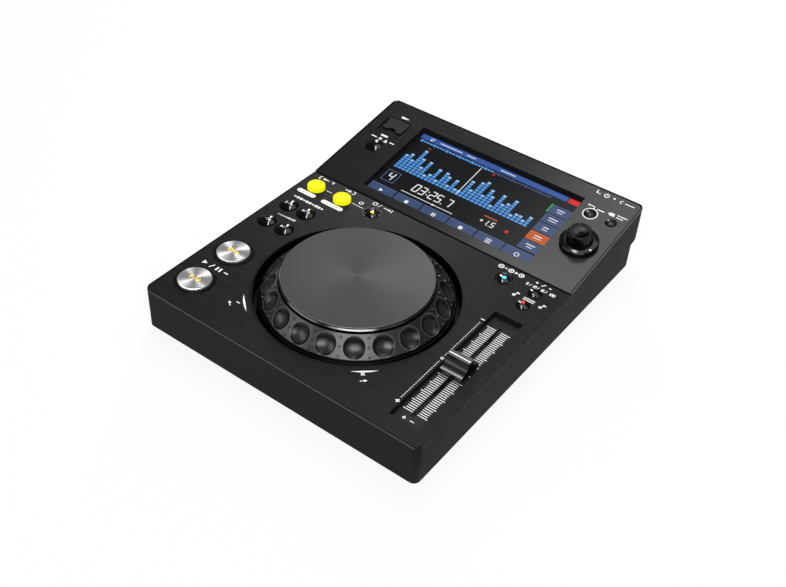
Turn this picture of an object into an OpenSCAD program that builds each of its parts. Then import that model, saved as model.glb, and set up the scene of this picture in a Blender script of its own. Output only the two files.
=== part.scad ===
// Table-top media player: a jog wheel and a tempo fader on a flat deck, and a tilted head with a display.
// +X is right, +Y is to the back and +Z is up. The origin is on the table, under the middle of the housing.

/* [Housing] */
// Width of the housing
body_w = 242; // [240:1:250]
// Depth of the housing
body_d = 300; // [298:1:306]
// Radius of the upright corners
corner_r = 5; // [4:0.5:7]
// Thickness of the moulded walls
wall_t = 2.5; // [2:0.1:3]
// Height of the deck's top face above the table
deck_z = 40; // [39:0.5:43]
// Thickness of the brushed deck panel
panel_t = 1.5; // [1.2:0.1:1.8]
// Thickness of the moulded plate under the deck panel
plate_t = 2.5; // [2.2:0.1:2.8]
// Step from the housing's side to the edge of the deck panel
panel_inset = 0.5; // [0.3:0.1:1]

/* [Base and back] */
// Height of the rubber feet
foot_h = 5; // [4:0.5:6]
// Radius of a rubber foot
foot_r = 9; // [7:0.5:11]
// Distance of the feet's centres from the housing's sides
foot_in = 20; // [18:1:24]
// Thickness of the steel base plate
base_t = 1.2; // [1:0.1:1.6]
// Height of the standoffs that carry the circuit boards
standoff_h = 3; // [2.5:0.1:3.5]
// Radius of a standoff
standoff_r = 3; // [2.5:0.1:3.5]
// Radius of the bosses that take the base screws
boss_r = 3.5; // [3:0.1:4]
// Height of the bosses that take the base screws
boss_h = 18; // [15:1:20]
// Radius of a screw's shank
screw_r = 1.5; // [1.2:0.1:1.8]
// Radius of a screw's head
screw_head_r = 2.9; // [2.6:0.1:3.2]
// Height of a screw's head
screw_head_h = 1.2; // [1:0.1:1.6]
// Length of a screw's shank
screw_len = 10; // [8:1:12]
// Distance that the lower back wall stands in from the overhang
rear_step = 9.8; // [9.5:0.1:12]
// Height of the overhang's lower edge
overhang_z = 28.8; // [28:0.2:31]
// Height at which the overhang meets the lower back wall
overhang_root_z = 26; // [25.6:0.2:27]
// Thickness of the rear panel
rear_t = 1.2; // [1:0.1:1.5]

/* [Head] */
// Distance of the head's front edge from the housing's back
head_y = 109.3; // [108:0.1:110]
// Height of the head's front edge above the deck
head_rise = 0.3; // [0.2:0.1:0.8]
// Tilt of the head
head_tilt = 9.17; // [8.5:0.1:10]
// Width of the dark groove between the deck panel and the head
groove_w = 1.5; // [1:0.1:2.5]
// Thickness of the head panel
head_t = 2; // [1.8:0.1:2.2]
// Thickness of the moulded plate under the head panel
head_plate_t = 2; // [1.8:0.1:2.4]
// Rim of the housing beside and behind the head panel
head_rim = 1.4; // [1.2:0.1:2]
// Width of the display window
window_w = 156.5; // [152:0.5:158]
// Length of the display window along the slope
window_l = 84.4; // [82:0.2:86]
// Distance of the window's middle from the head's front edge
window_s = 51; // [50:0.2:52]
// Thickness of the display glass
glass_t = 1.1; // [0.8:0.1:1.4]
// Overlap of the glass under the plate around the window
glass_lap = 1.8; // [1:0.1:2]
// Thickness of the display module
lcd_t = 5; // [4:0.2:6]

/* [Jog wheel] */
// Sideways place of the jog wheel, from the housing's middle
jog_x = -0.8; // [-2:0.1:1]
// Distance of the jog wheel's middle from the housing's front
jog_y = 93.7; // [93:0.1:94.5]
// Radius of the well around the jog wheel
well_r = 75.3; // [74.8:0.1:75.8]
// Wall of the well
well_t = 2; // [1.6:0.1:2.2]
// Width of the flange that holds the well under the deck
well_flange = 3.6; // [3:0.1:4]
// Depth of the well's floor under the deck
well_depth = 14; // [13:0.2:15]
// Outer radius of the jog ring
jog_r = 71.8; // [71:0.1:72.4]
// Width of the lip around the foot of the ring's slope
lip_w = 1.8; // [1.2:0.1:2.2]
// Height of the slope's outer edge above the deck, under it when negative
ring_low = -2; // [-3:0.1:0]
// Height of the ring's inner edge above the deck
ring_high = 11.6; // [11.2:0.1:11.8]
// Radius of the ring's inner edge
shoulder_r = 57.6; // [57.4:0.1:58.4]
// Thickness of the ring's skirt
skirt_t = 5; // [4.6:0.1:5.6]
// Radius of the collar under the jog plate
collar_r = 57.2; // [56.6:0.1:57.6]
// Height of the collar's top above the deck
collar_high = 11.9; // [11.7:0.1:12.1]
// Thickness of the ring's web
web_t = 3.4; // [3:0.1:3.8]
// Radius of the jog plate
plate_r = 55.6; // [54:0.1:56]
// Height of the jog plate's top above the deck
plate_high = 15.4; // [15:0.1:17]
// Thickness of the jog plate
jog_plate_t = 2.8; // [2.6:0.1:2.8]
// Bevel on the jog plate's edge
plate_bevel = 0.3; // [0.2:0.1:0.6]
// Width of the sloping foot around the jog plate
plate_foot = 0.9; // [0.5:0.1:1.2]
// Number of finger dimples on the ring
dimple_n = 20; // [16:1:22]
// Diameter of a finger dimple
dimple_d = 16.6; // [14:0.2:17]
// Depth of a finger dimple
dimple_depth = 2.3; // [1.6:0.1:2.6]
// Radius of the small bumps between the dimples
bump_r = 0.95; // [0.7:0.05:1.1]
// Radius of the jog shaft
shaft_r = 4; // [3.5:0.1:4.4]
// Radius of the hub around the shaft
hub_r = 10; // [9:0.2:11]
// Outer radius of the bearing bush
bush_r = 6.5; // [6:0.1:7]
// Radius of the encoder disc
encoder_r = 22; // [20:0.5:24]
// Number of slots in the encoder disc
encoder_n = 36; // [24:1:40]

/* [Transport buttons] */
// Distance of the two transport buttons from the housing's left side
transport_x = 22.2; // [21:0.1:23]
// Distance of the front transport button from the housing's front
play_y = 28.6; // [26:0.2:30]
// Distance of the rear transport button from the housing's front
cue_y = 69.1; // [67:0.1:69.5]
// Radius of a transport button's cap
transport_r = 12.6; // [12:0.1:13]
// Height of a transport button above the deck
transport_high = 2; // [1.4:0.1:3]
// Width of the black rim around a transport button
rim_w = 2.4; // [1.8:0.1:2.6]
// Height of that rim above the deck
rim_high = 0.5; // [0.3:0.1:0.9]

/* [Deck buttons] */
// Distance of the first loop button from the housing's left side
loop_in_x = 15.9; // [15:0.1:17]
// Distance of the second loop button from the housing's left side
loop_out_x = 42.3; // [41:0.1:44]
// Distance of the loop buttons from the head's front edge
loop_y = 17.9; // [17.3:0.1:18.7]
// Radius of a loop button
loop_r = 7.2; // [6.6:0.1:7.6]
// Height of a loop button above the deck
loop_high = 3.4; // [2.5:0.1:4.5]
// Distance of the reloop button from the housing's left side
reloop_x = 71; // [70:0.1:72]
// Distance of the vinyl button from the housing's right side
vinyl_x = 48.1; // [47:0.1:49]
// Distance of the reloop and vinyl buttons from the head's front edge
dished_y = 16.3; // [15.7:0.1:16.7]
// Radius of a dished button's cap
dished_r = 4.9; // [4.4:0.1:5.2]
// Outer radius of the dished ring around it
dish_r = 7.6; // [7.2:0.1:8]
// Depth of the dish at the cap
dish_depth = 0.9; // [0.5:0.1:1.1]
// Distance of the left search buttons from the housing's left side
search_x = 14.6; // [14:0.1:15]
// Distance between the left and right search buttons
search_pitch = 17.3; // [17.1:0.1:17.8]
// Distance of the rear row of search buttons from the head's front edge
track_y = 50; // [49.3:0.1:51.7]
// Distance of the front row of search buttons from the head's front edge
search_y = 75.8; // [74.7:0.1:76.7]
// Radius of a search button
search_r = 6.9; // [6.4:0.1:7]
// Height of a search button's dome above the deck
search_high = 2.2; // [1.6:0.1:3]
// Width of the sloping edge around a search button's hole
search_bevel = 0.8; // [0.4:0.1:0.9]
// Distance of the two tempo buttons from the housing's right side
tempo_x = 21.5; // [20.5:0.1:22.5]
// Distance of the tempo range button from the head's front edge
range_y = 16.5; // [15.7:0.1:17.1]
// Distance of the master tempo button from the head's front edge
master_y = 33.2; // [32.5:0.1:33.9]
// Radius of a tempo button
tempo_r = 5.1; // [4.6:0.1:5.4]
// Height of a tempo button's dome above the deck
tempo_high = 1.6; // [1:0.1:2.4]
// Width of the flange that keeps a button in the deck
flange_w = 1.2; // [0.8:0.1:1.2]
// Travel of a button
press = 1; // [0.6:0.1:1.1]

/* [Tempo fader] */
// Distance of the fader's middle from the housing's right side
fader_x = 21.7; // [21.4:0.1:22]
// Distance of the fader's middle from the housing's front
fader_y = 76.6; // [76:0.1:77]
// Width of the recess
recess_w = 23; // [21:0.2:23.4]
// Length of the recess
recess_l = 126.4; // [125:0.2:128]
// Margin of the tray under the deck
tray_margin = 3; // [2.4:0.1:3.4]
// Thickness of the tray
tray_t = 1.5; // [1.2:0.1:1.8]
// Width of the slot in the tray
slot_w = 2.4; // [2.2:0.1:2.8]
// Travel of the fader to each side
fader_travel = 50; // [45:1:50]
// Width of the fader cap
cap_w = 17.6; // [16:0.2:18.4]
// Length of the fader cap along its travel
cap_l = 21.5; // [20:0.5:22]
// Height of the cap's ridge above the deck
cap_high = 9.4; // [8.6:0.2:10]
// Length of the flat on the cap's ridge
ridge_l = 5.2; // [4.4:0.2:6]
// Height of the cap's front and rear lips above the deck
lip_high = 1.6; // [1.2:0.1:2]
// Thickness of the fader's lever
lever_t = 1.2; // [1:0.1:1.4]
// Width of the fader's lever along its travel
lever_l = 5; // [4:0.5:6]

/* [Head controls] */
// Sideways place of the compartment and the stop button, from the middle of the strip left of the window
stick_x = -0.3; // [-1:0.1:0.5]
// Place of the compartment's middle along the slope
stick_s = 79.8; // [79:0.1:80.6]
// Width of the compartment's opening
stick_w = 23.4; // [22.4:0.1:24]
// Length of the compartment's opening
stick_l = 20; // [19:0.1:20.6]
// Corner radius of the memory-stick opening
stick_r = 2.6; // [2:0.1:3]
// Width of the lid
lid_w = 19.6; // [19:0.1:20.4]
// Thickness of the lid
lid_t = 1.7; // [1.5:0.05:1.8]
// Gap in front of the lid for a fingertip
lid_gap = 5.2; // [4.6:0.1:5.8]
// Radius of the finger notch in the lid
notch_r = 4.6; // [4:0.1:5]
// Radius of the lid's hinge pin
pin_r = 0.5; // [0.4:0.05:0.55]
// Width of the compartment under the lid
bay_w = 17.6; // [17:0.1:18]
// Length of the compartment under the lid
bay_l = 11.7; // [11:0.1:12]
// Depth of the compartment's floor
bay_depth = 14; // [13:0.5:15]
// Place of the stop button along the slope
stop_s = 51.2; // [50:0.2:52]
// Radius of the stop button
stop_r = 7; // [6.4:0.1:7.4]
// Height of the stop button's dome
stop_high = 2; // [1.4:0.1:2.6]
// Sideways place of the back button, from the first quarter of the strip right of the window
back_x = 0.4; // [-0.1:0.1:0.9]
// Sideways place of the tag button, from the third quarter of the strip right of the window
tag_x = -0.6; // [-1.2:0.1:-0.2]
// Place of the back and tag buttons along the slope
menu_s = 79.8; // [79:0.1:80.4]
// Radius of the back and tag buttons
menu_r = 4.4; // [4:0.1:4.6]
// Height of the domes of the back and tag buttons
menu_high = 1.2; // [0.8:0.1:1.8]
// Width of the white ring around the back button
ring_w = 1.3; // [1:0.1:1.6]
// Sideways place of the selector, from the middle of the strip right of the window
selector_x = -0.3; // [-1:0.1:0.5]
// Place of the selector along the slope
selector_s = 47.8; // [47:0.1:49]
// Radius of the selector's skirt
skirt_r = 15.1; // [14:0.1:15.6]
// Height of the selector's skirt
skirt_h = 2.8; // [2:0.1:3.4]
// Radius of the selector's grip at its foot
grip_r = 10.6; // [10:0.1:11.2]
// Radius of the selector's grip at its top
grip_top_r = 9; // [8.4:0.1:9.4]
// Height of the selector above the head
knob_high = 13.2; // [12:0.2:14.5]
// Number of flutes around the selector's grip
flute_n = 24; // [18:1:30]
// Radius of a flute
flute_r = 0.55; // [0.4:0.05:0.7]
// Radius of the selector's shaft
stem_r = 3; // [2.6:0.1:3.2]
// Travel of the selector when pressed
selector_press = 0.6; // [0.4:0.1:0.7]
// Width of the encoder under the selector
encoder_w = 14; // [13:0.2:15]
// Sideways place of the standby light, from the middle of the strip right of the window
standby_x = -1.7; // [-3:0.1:1]
// Place of the standby light along the slope
standby_s = 104.9; // [104:0.1:106]
// Radius of the standby light
standby_r = 1; // [0.8:0.1:1.3]
// Place of the compartment's light bar along the slope
bar_s = 65.9; // [65:0.1:66.6]
// Width of the light bar
bar_w = 6.8; // [5:0.2:8]
// Length of the light bar along the slope
bar_l = 1.9; // [1.4:0.1:2.4]

/* [Sockets] */
// Distance of the power inlet from the housing's left side
inlet_x = 33; // [31:0.5:35]
// Distance of the network socket from the housing's right side
lan_x = 113; // [111:0.5:115]
// Distance of the square data socket from the housing's right side
data_x = 87; // [85:0.5:89]
// Distance of the first audio jack from the housing's right side
jack_x = 59; // [57:0.5:61]
// Distance between the audio jacks
jack_pitch = 18; // [16:0.5:20]
// Outer radius of an audio jack's sleeve
jack_r = 4.15; // [4.1:0.05:4.2]
// Length of an audio jack's sleeve
jack_l = 9; // [8:0.1:9.3]
// Width of the insulating collar around a jack in the rear panel
jack_collar = 0.8; // [0.5:0.1:1.2]
// Distance of the power button from the housing's right side
power_x = 35; // [33:0.5:37]
// Height of the power button
power_z = 43; // [42.5:0.5:45]
// Radius of the power button
power_r = 4.5; // [4:0.1:4.8]
// Travel of the power button
power_press = 1.5; // [1:0.1:1.8]

/* [Boards] */
// Thickness of a circuit board
board_t = 1.6; // [1.2:0.1:1.6]
// Width of the main board
main_board_w = 138; // [130:1:140]
// Length of the main board
main_board_l = 101.5; // [95:0.5:105]
// Width of the power supply's board
power_board_w = 64; // [60:1:66]
// Length of the power supply's board
power_board_l = 73.5; // [70:0.5:76]
// Height of a tact switch without its plunger
tact_h = 3.5; // [3.2:0.1:3.6]
// Width of a tact switch
tact_w = 6; // [5.5:0.1:6.5]
// Depth of the head boards under the head plate
head_drop = 8; // [7.8:0.1:8.4]

/* [Fits] */
// Running gap around buttons
button_gap = 0.3; // [0.25:0.01:0.35]
// Running gap of shafts and pins
shaft_gap = 0.06; // [0.05:0.01:0.08]
// Gap of pieces fixed in a hole
seat_gap = 0.15; // [0.1:0.01:0.2]
// Gap between a piece and what stops it
stop_gap = 0.3; // [0.2:0.01:0.4]

/* [Hidden] */
$fn = 64;

// Sides of the housing and the head's front edge, from which the controls are placed
left = -body_w / 2;
right = body_w / 2;
front = -body_d / 2;
head_front = body_d / 2 - head_y;
jog_row = front + jog_y;
transport_at = left + transport_x;
play_at = front + play_y;
cue_at = front + cue_y;
loop_in_at = left + loop_in_x;
loop_out_at = left + loop_out_x;
loop_row = head_front - loop_y;
reloop_at = left + reloop_x;
vinyl_at = right - vinyl_x;
dished_row = head_front - dished_y;
search_at = left + search_x;
track_row = head_front - track_y;
search_row = head_front - search_y;
tempo_at = right - tempo_x;
range_row = head_front - range_y;
master_row = head_front - master_y;
fader_at = right - fader_x;
fader_row = front + fader_y;
inlet_at = left + inlet_x;
lan_at = right - lan_x;
data_at = right - data_x;
jack_at = right - jack_x;
power_at = right - power_x;
// The strips beside the window: a share of the way from the glass to the housing's wall
function strip(share) = (window_w / 2 + glass_lap) * (1 - share) + (right - wall_t) * share;
stick_at = stick_x - strip(0.5);
back_at = strip(0.25) + back_x;
tag_at = strip(0.75) + tag_x;
selector_at = strip(0.5) + selector_x;
standby_at = strip(0.5) + standby_x;

base_z = foot_h;
case_top = deck_z - panel_t;
plate_z = case_top - plate_t;
head_z = deck_z + head_rise;
head_l = (body_d / 2 - head_front) / cos(head_tilt);
head_under = head_t + head_plate_t;
in_w = body_w - 2 * wall_t;
in_d = body_d - 2 * wall_t;
back_y = body_d / 2 - rear_step;
rear_y = back_y - rear_t;
rear_in_y = rear_y - wall_t;
front_in_y = wall_t - body_d / 2;
base_top = base_z + base_t;
board_z = base_top + standoff_h;
board_top = board_z + board_t;
// Reach of a button under its plate, height of a switch's plunger and the gap left over it
button_reach = stop_gap + 1.4;
plunger_h = 0.7;
plunger_gap = 0.1;
key_drop = button_reach + press + plunger_gap + plunger_h + tact_h;
key_top = plate_z - key_drop;
case_top_at_back = head_z + (body_d / 2 - head_front) * tan(head_tilt);

// Heights of the jog's pieces
ring_floor = deck_z - 6;
hub_floor = ring_floor + stop_gap;
bush_floor = deck_z - well_depth - well_t;
web_top = deck_z + collar_high;
web_floor = web_top - web_t;
jog_top = deck_z + plate_high;
jog_plate_floor = jog_top - jog_plate_t;
socket_floor = web_top - 5.9;
slope_r = jog_r - lip_w;
slope_run = slope_r - shoulder_r;
slope_rise = ring_high - ring_low;
slope_a = atan2(slope_rise, slope_run);

// Places of the buttons on the deck: x, y and radius of the cap
DECK_BUTTONS = [
    [transport_at, play_at, transport_r],
    [transport_at, cue_at, transport_r],
    [loop_in_at, loop_row, loop_r],
    [loop_out_at, loop_row, loop_r],
    [reloop_at, dished_row, dished_r],
    [search_at, track_row, search_r],
    [search_at + search_pitch, track_row, search_r],
    [search_at, search_row, search_r],
    [search_at + search_pitch, search_row, search_r],
    [vinyl_at, dished_row, dished_r],
    [tempo_at, range_row, tempo_r],
    [tempo_at, master_row, tempo_r]
];
// Places of the buttons on the head: x, s and radius of the cap
HEAD_BUTTONS = [
    [stick_at, stop_s, stop_r],
    [back_at, menu_s, menu_r],
    [tag_at, menu_s, menu_r]
];
SEARCH_PLACES = [for (i = [5 : 8]) DECK_BUTTONS[i]];
DISHED_PLACES = [DECK_BUTTONS[4], DECK_BUTTONS[9]];
TRANSPORT_PLACES = [DECK_BUTTONS[0], DECK_BUTTONS[1]];
BOSS_PLACES = [
    for (side = [-1, 1], y = [front_in_y + boss_r + 0.5, head_front + 1.3, rear_in_y - boss_r])
        [side * (in_w / 2 - boss_r + 0.4), y]
];
FOOT_PLACES = [
    for (side = [-1, 1], y = [foot_in - body_d / 2, rear_y - foot_in])
        [side * (body_w / 2 - foot_in), y]
];
KEY_BOSSES = [
    [transport_at, (play_at + cue_at) / 2],
    [search_at + search_pitch / 2, search_row - 20],
    [search_at + search_pitch / 2, (track_row + loop_row) / 2],
    [(loop_out_at + reloop_at) / 2 + 0.5, dished_row],
    [(vinyl_at + tempo_at) / 2, dished_row],
    [tempo_at + 12, (range_row + master_row) / 2]
];
HEAD_BOSSES = [
    [(back_at + tag_at) / 2, menu_s],
    [selector_at, selector_s + 16],
    [stick_at - 11, stop_s - 8],
    [stick_at + 11, stop_s - 8]
];
// Standoffs of the main board and of the power supply
MAIN_BOARD = [right - 17 - main_board_w, rear_in_y - 1 - main_board_l, right - 17, rear_in_y - 1];
POWER_BOARD = [left + 15, rear_in_y - 1 - power_board_l, left + 15 + power_board_w, rear_in_y - 1];
REAR_SCREWS = [for (side = [-1, 1], z = [board_top, board_top + 10]) [side * (in_w / 2 - 9), z]];
REAR_OPENING = [16 - in_w / 2, in_w / 2 - 16];
socket_z = board_top + 6.2;

// Helpers

module rounded_rect(w, d, r) {
    square([w - 2 * r, d], center = true);
    square([w, d - 2 * r], center = true);
    for (sx = [-1, 1], sy = [-1, 1])
        translate([sx * (w / 2 - r), sy * (d / 2 - r)]) circle(r);
}

// A block from two opposite corners
module block(low, high) {
    translate(low) cube(high - low);
}

// Moves a piece to a place on the tilted head: x, distance up the slope, height over the panel
module on_head(x, s, n = 0) {
    translate([0, head_front, head_z]) rotate([head_tilt, 0, 0]) translate([x, s, n]) children();
}

// A slab across the housing, from an outline of y and z
module side_slab(outline, w) {
    rotate([90, 0, 90]) translate([0, 0, -w / 2]) linear_extrude(w) polygon(outline);
}

// Height of the head's top face, less a depth square to it
function head_face(y, depth) = head_z + (y - head_front) * tan(head_tilt) - depth / cos(head_tilt);

// A cap with a domed top: its rim stands rim_z over its foot and its crown top_z
module domed_cap(r, rim_z, top_z) {
    rise = top_z - rim_z;
    ball = (r * r + rise * rise) / (2 * rise);
    intersection() {
        cylinder(r = r, h = top_z);
        translate([0, 0, top_z - ball]) sphere(ball, $fn = 128);
    }
}

// A cap with a flat top and a bevelled edge
module flat_cap(r, top_z, bevel) {
    cylinder(r = r, h = top_z - bevel);
    translate([0, 0, top_z - bevel]) cylinder(r1 = r, r2 = r - bevel, h = bevel);
}

// The part of a button under its plate: shank, flange and the stem over its switch.
// Its origin is the underside of the plate.
module button_foot(r) {
    translate([0, 0, -stop_gap - 0.9]) cylinder(r = r + flange_w, h = 0.9);
    translate([0, 0, -stop_gap - 0.9]) cylinder(r = r, h = stop_gap + 1);
    translate([0, 0, -button_reach]) cylinder(r = 2, h = 0.6);
}

module deck_button(place, tint) {
    color(tint) translate([place[0], place[1], 0]) {
        translate([0, 0, plate_z]) button_foot(place[2]);
        translate([0, 0, plate_z - 0.5]) children();
    }
}

module head_button(place, tint) {
    color(tint) on_head(place[0], place[1], -head_under) {
        button_foot(place[2]);
        translate([0, 0, -0.5]) children();
    }
}

// A tact switch, standing on a board
module tact_switch() {
    translate([-tact_w / 2, -tact_w / 2, 0]) cube([tact_w, tact_w, tact_h]);
    cylinder(r = 1.7, h = tact_h + plunger_h);
}

// Housing

module case_outline_slab() {
    side_slab([
        [-body_d / 2, base_z],
        [-body_d / 2, case_top],
        [head_front, case_top],
        [head_front, head_z],
        [body_d / 2, case_top_at_back],
        [body_d / 2, overhang_z],
        [rear_y, overhang_root_z],
        [rear_y, base_z]
    ], body_w + 2);
}

module case_cavity_slab() {
    side_slab([
        [front_in_y, base_z - 1],
        [front_in_y, plate_z],
        [head_front + wall_t, plate_z],
        [head_front + wall_t, head_face(head_front + wall_t, head_under)],
        [in_d / 2, head_face(in_d / 2, head_under)],
        [in_d / 2, overhang_z + wall_t],
        [rear_in_y, overhang_root_z + wall_t],
        [rear_in_y, base_z - 1]
    ], in_w);
}

// Openings for the controls in the deck, as wide as the pieces that pass
module deck_openings(low, high) {
    h = high - low;
    translate([jog_x, jog_row, low]) cylinder(r = well_r + well_t + seat_gap, h = h, $fn = 128);
    translate([fader_at - recess_w / 2, fader_row - recess_l / 2, low]) cube([recess_w, recess_l, h]);
}

module main_case() {
    color([0.13, 0.13, 0.135]) difference() {
        union() {
            difference() {
                intersection() {
                    linear_extrude(case_top_at_back + 1) rounded_rect(body_w, body_d, corner_r);
                    case_outline_slab();
                }
                case_cavity_slab();
            }
            for (p = BOSS_PLACES) translate([p[0], p[1], base_top]) cylinder(r = boss_r, h = boss_h);
            for (p = KEY_BOSSES) translate([p[0], p[1], key_top]) cylinder(r = 2.2, h = key_drop + 0.5);
            for (p = HEAD_BOSSES) on_head(p[0], p[1], -head_under - head_drop)
                cylinder(r = 2.2, h = head_drop + 0.5);
        }
        deck_openings(plate_z - 1, case_top + 1);
        for (p = DECK_BUTTONS) translate([p[0], p[1], plate_z - 1])
            cylinder(r = p[2] + button_gap, h = plate_t + 2);
        for (p = BOSS_PLACES) translate([p[0], p[1], base_top - 1])
            cylinder(r = screw_r + seat_gap, h = screw_len + 1);
        // The seat of the head panel, open to the front
        on_head(0, 0, -head_t) translate([-in_w / 2 - wall_t + head_rim, -3, 0])
            cube([body_w - 2 * head_rim, head_l - head_rim + 3, head_t + 5]);
        on_head(0, window_s, -head_under - 1) translate([-window_w / 2, -window_l / 2, 0])
            cube([window_w, window_l, head_under]);
        for (p = HEAD_BUTTONS) on_head(p[0], p[1], -head_under - 1)
            cylinder(r = p[2] + button_gap, h = head_under);
        on_head(selector_at, selector_s, -head_under - 1)
            cylinder(r = stem_r + 1 + seat_gap, h = head_under);
        on_head(stick_at, bay_middle_s(), -head_under - 1) translate([-bay_w / 2, -bay_l / 2, 0])
            cube([bay_w, bay_l, head_under]);
        // The way to the sockets through the lower back wall
        block([REAR_OPENING[0], rear_in_y - 1, board_z],
            [REAR_OPENING[1], rear_y + 1, overhang_root_z - 1.6]);
        for (p = REAR_SCREWS) translate([p[0], rear_y + 1, p[1]]) rotate([90, 0, 0])
            cylinder(r = screw_r + seat_gap, h = wall_t + 2);
        translate([power_at, body_d / 2 + 1, power_z]) rotate([90, 0, 0])
            cylinder(r = power_r + button_gap, h = wall_t + 2);
    }
}

module deck_panel() {
    panel_front = panel_inset - body_d / 2;
    panel_back = head_front - groove_w;
    r = corner_r - panel_inset;
    color([0.17, 0.17, 0.175]) difference() {
        translate([0, 0, case_top]) intersection() {
            linear_extrude(panel_t) rounded_rect(body_w - 2 * panel_inset, body_d - 2 * panel_inset, r);
            block([-body_w, panel_front - 1, -1], [body_w, panel_back, panel_t + 1]);
        }
        deck_openings(case_top - 1, deck_z + 1);
        for (p = DECK_BUTTONS) translate([p[0], p[1], case_top - 1])
            cylinder(r = p[2] + button_gap, h = panel_t + 2);
        for (p = SEARCH_PLACES) translate([p[0], p[1], deck_z - search_bevel])
            cylinder(r1 = p[2] + button_gap, r2 = p[2] + button_gap + 2 * search_bevel, h = 2 * search_bevel);
        for (p = TRANSPORT_PLACES) translate([p[0], p[1], case_top - 1])
            cylinder(r = p[2] + button_gap + rim_w + seat_gap, h = panel_t + 2);
        for (p = DISHED_PLACES) translate([p[0], p[1], case_top - 1])
            cylinder(r = dish_r + seat_gap, h = panel_t + 2);
    }
}

module head_panel() {
    w = body_w - 2 * (head_rim + seat_gap);
    l = head_l - head_rim - seat_gap;
    r = corner_r - head_rim;
    color([0.19, 0.19, 0.195]) on_head(0, 0) difference() {
        translate([0, l / 2 - r / 2, -head_t]) intersection() {
            linear_extrude(head_t) rounded_rect(w, l + r, r);
            block([-w, (r - l) / 2, -1], [w, l, head_t + 1]);
        }
        translate([-window_w / 2, window_s - window_l / 2, -head_t - 1])
            cube([window_w, window_l, head_t + 2]);
        for (p = HEAD_BUTTONS) translate([p[0], p[1], -head_t - 1])
            cylinder(r = p[2] + button_gap, h = head_t + 2);
        translate([back_at, menu_s, -head_t - 1]) cylinder(r = back_ring_r() + seat_gap, h = head_t + 2);
        translate([selector_at, selector_s, -head_t - 1]) cylinder(r = stem_r + 1 + seat_gap, h = head_t + 2);
        translate([stick_at, stick_s, -head_t - 1])
            linear_extrude(head_t + 2) rounded_rect(stick_w, stick_l, stick_r);
        translate([stick_at - pin_length() / 2 - seat_gap, hinge_s(), hinge_n()]) rotate([0, 90, 0])
            cylinder(r = pin_r + shaft_gap, h = pin_length() + 2 * seat_gap, $fn = 32);
        translate([standby_at, standby_s, -head_t - 1]) cylinder(r = standby_r + seat_gap, h = head_t + 2);
        translate([stick_at - bar_w / 2 - seat_gap, bar_s - bar_l / 2 - seat_gap, -head_t - 1])
            cube([bar_w + 2 * seat_gap, bar_l + 2 * seat_gap, head_t + 2]);
    }
}

module base_plate() {
    w = in_w - 2 * seat_gap;
    plate_front = front_in_y + seat_gap;
    plate_back = rear_in_y - seat_gap;
    color([0.3, 0.3, 0.31]) difference() {
        union() {
            block([-w / 2, plate_front, base_z], [w / 2, plate_back, base_top]);
            for (b = [MAIN_BOARD, POWER_BOARD], x = [b[0] + 5, b[2] - 5], y = [b[1] + 5, b[3] - 5])
                translate([x, y, base_top - 0.5]) cylinder(r = standoff_r, h = standoff_h + 0.5);
        }
        for (p = BOSS_PLACES) translate([p[0], p[1], base_z - 1])
            cylinder(r = screw_r + seat_gap, h = base_t + 2);
    }
}

module rear_panel() {
    w = in_w - 4;
    low = base_z + 1;
    high = overhang_root_z - 0.6;
    color([0.12, 0.12, 0.12]) difference() {
        block([-w / 2, rear_y, low], [w / 2, back_y, high]);
        for (p = REAR_SCREWS) translate([p[0], back_y + 1, p[1]]) rotate([90, 0, 0])
            cylinder(r = screw_r + seat_gap, h = rear_t + 2);
        socket_hole(inlet_at, inlet_size());
        socket_hole(lan_at, lan_size());
        socket_hole(data_at, data_size());
        for (i = [0, 1]) translate([jack_at + i * jack_pitch, back_y + 1, socket_z]) rotate([90, 0, 0])
            cylinder(r = jack_r + jack_collar + seat_gap, h = rear_t + 2);
    }
}

module feet() {
    color([0.05, 0.05, 0.05]) for (p = FOOT_PLACES) translate([p[0], p[1], 0]) {
        cylinder(r1 = foot_r - 0.8, r2 = foot_r, h = 1);
        translate([0, 0, 1]) cylinder(r = foot_r, h = foot_h - 1);
    }
}

// A screw with its head below its origin and its shank above
module screw() {
    translate([0, 0, -screw_head_h]) cylinder(r = screw_head_r, h = screw_head_h, $fn = 32);
    cylinder(r = screw_r, h = screw_len, $fn = 32);
}

module case_screws() {
    color([0.2, 0.2, 0.2]) {
        for (p = BOSS_PLACES) translate([p[0], p[1], base_z]) screw();
        for (p = REAR_SCREWS) translate([p[0], back_y, p[1]]) rotate([90, 0, 0]) screw();
    }
}

// Display

module display_glass() {
    color([0.03, 0.03, 0.04]) on_head(0, window_s, -head_under - glass_t)
        translate([-window_w / 2 - glass_lap, -window_l / 2 - glass_lap, 0])
            cube([window_w + 2 * glass_lap, window_l + 2 * glass_lap, glass_t]);
}

module display_module() {
    w = window_w + glass_lap;
    l = window_l + glass_lap;
    color([0.6, 0.62, 0.64]) on_head(0, window_s, -head_under - glass_t - lcd_t) {
        translate([-w / 2, -l / 2, 0]) cube([w, l, lcd_t]);
        // Driver board on the back of the panel
        translate([-w / 4, -l / 4, -1.6]) cube([w / 2, l / 2, 1.7]);
    }
}

// Boards

module main_board() {
    b = MAIN_BOARD;
    color([0.05, 0.25, 0.12]) {
        block([b[0], b[1], board_z], [b[2], b[3], board_top]);
        // Chips: place on the board, width and height
        for (c = [[34, 26, 14, 2.2], [58, 38, 11, 1.6], [84, 22, 9, 1.6], [112, 50, 16, 3]])
            translate([b[0] + c[0] - c[2] / 2, b[1] + c[1] - c[2] / 2, board_top - 0.1])
                cube([c[2], c[2], c[3]]);
    }
}

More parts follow.
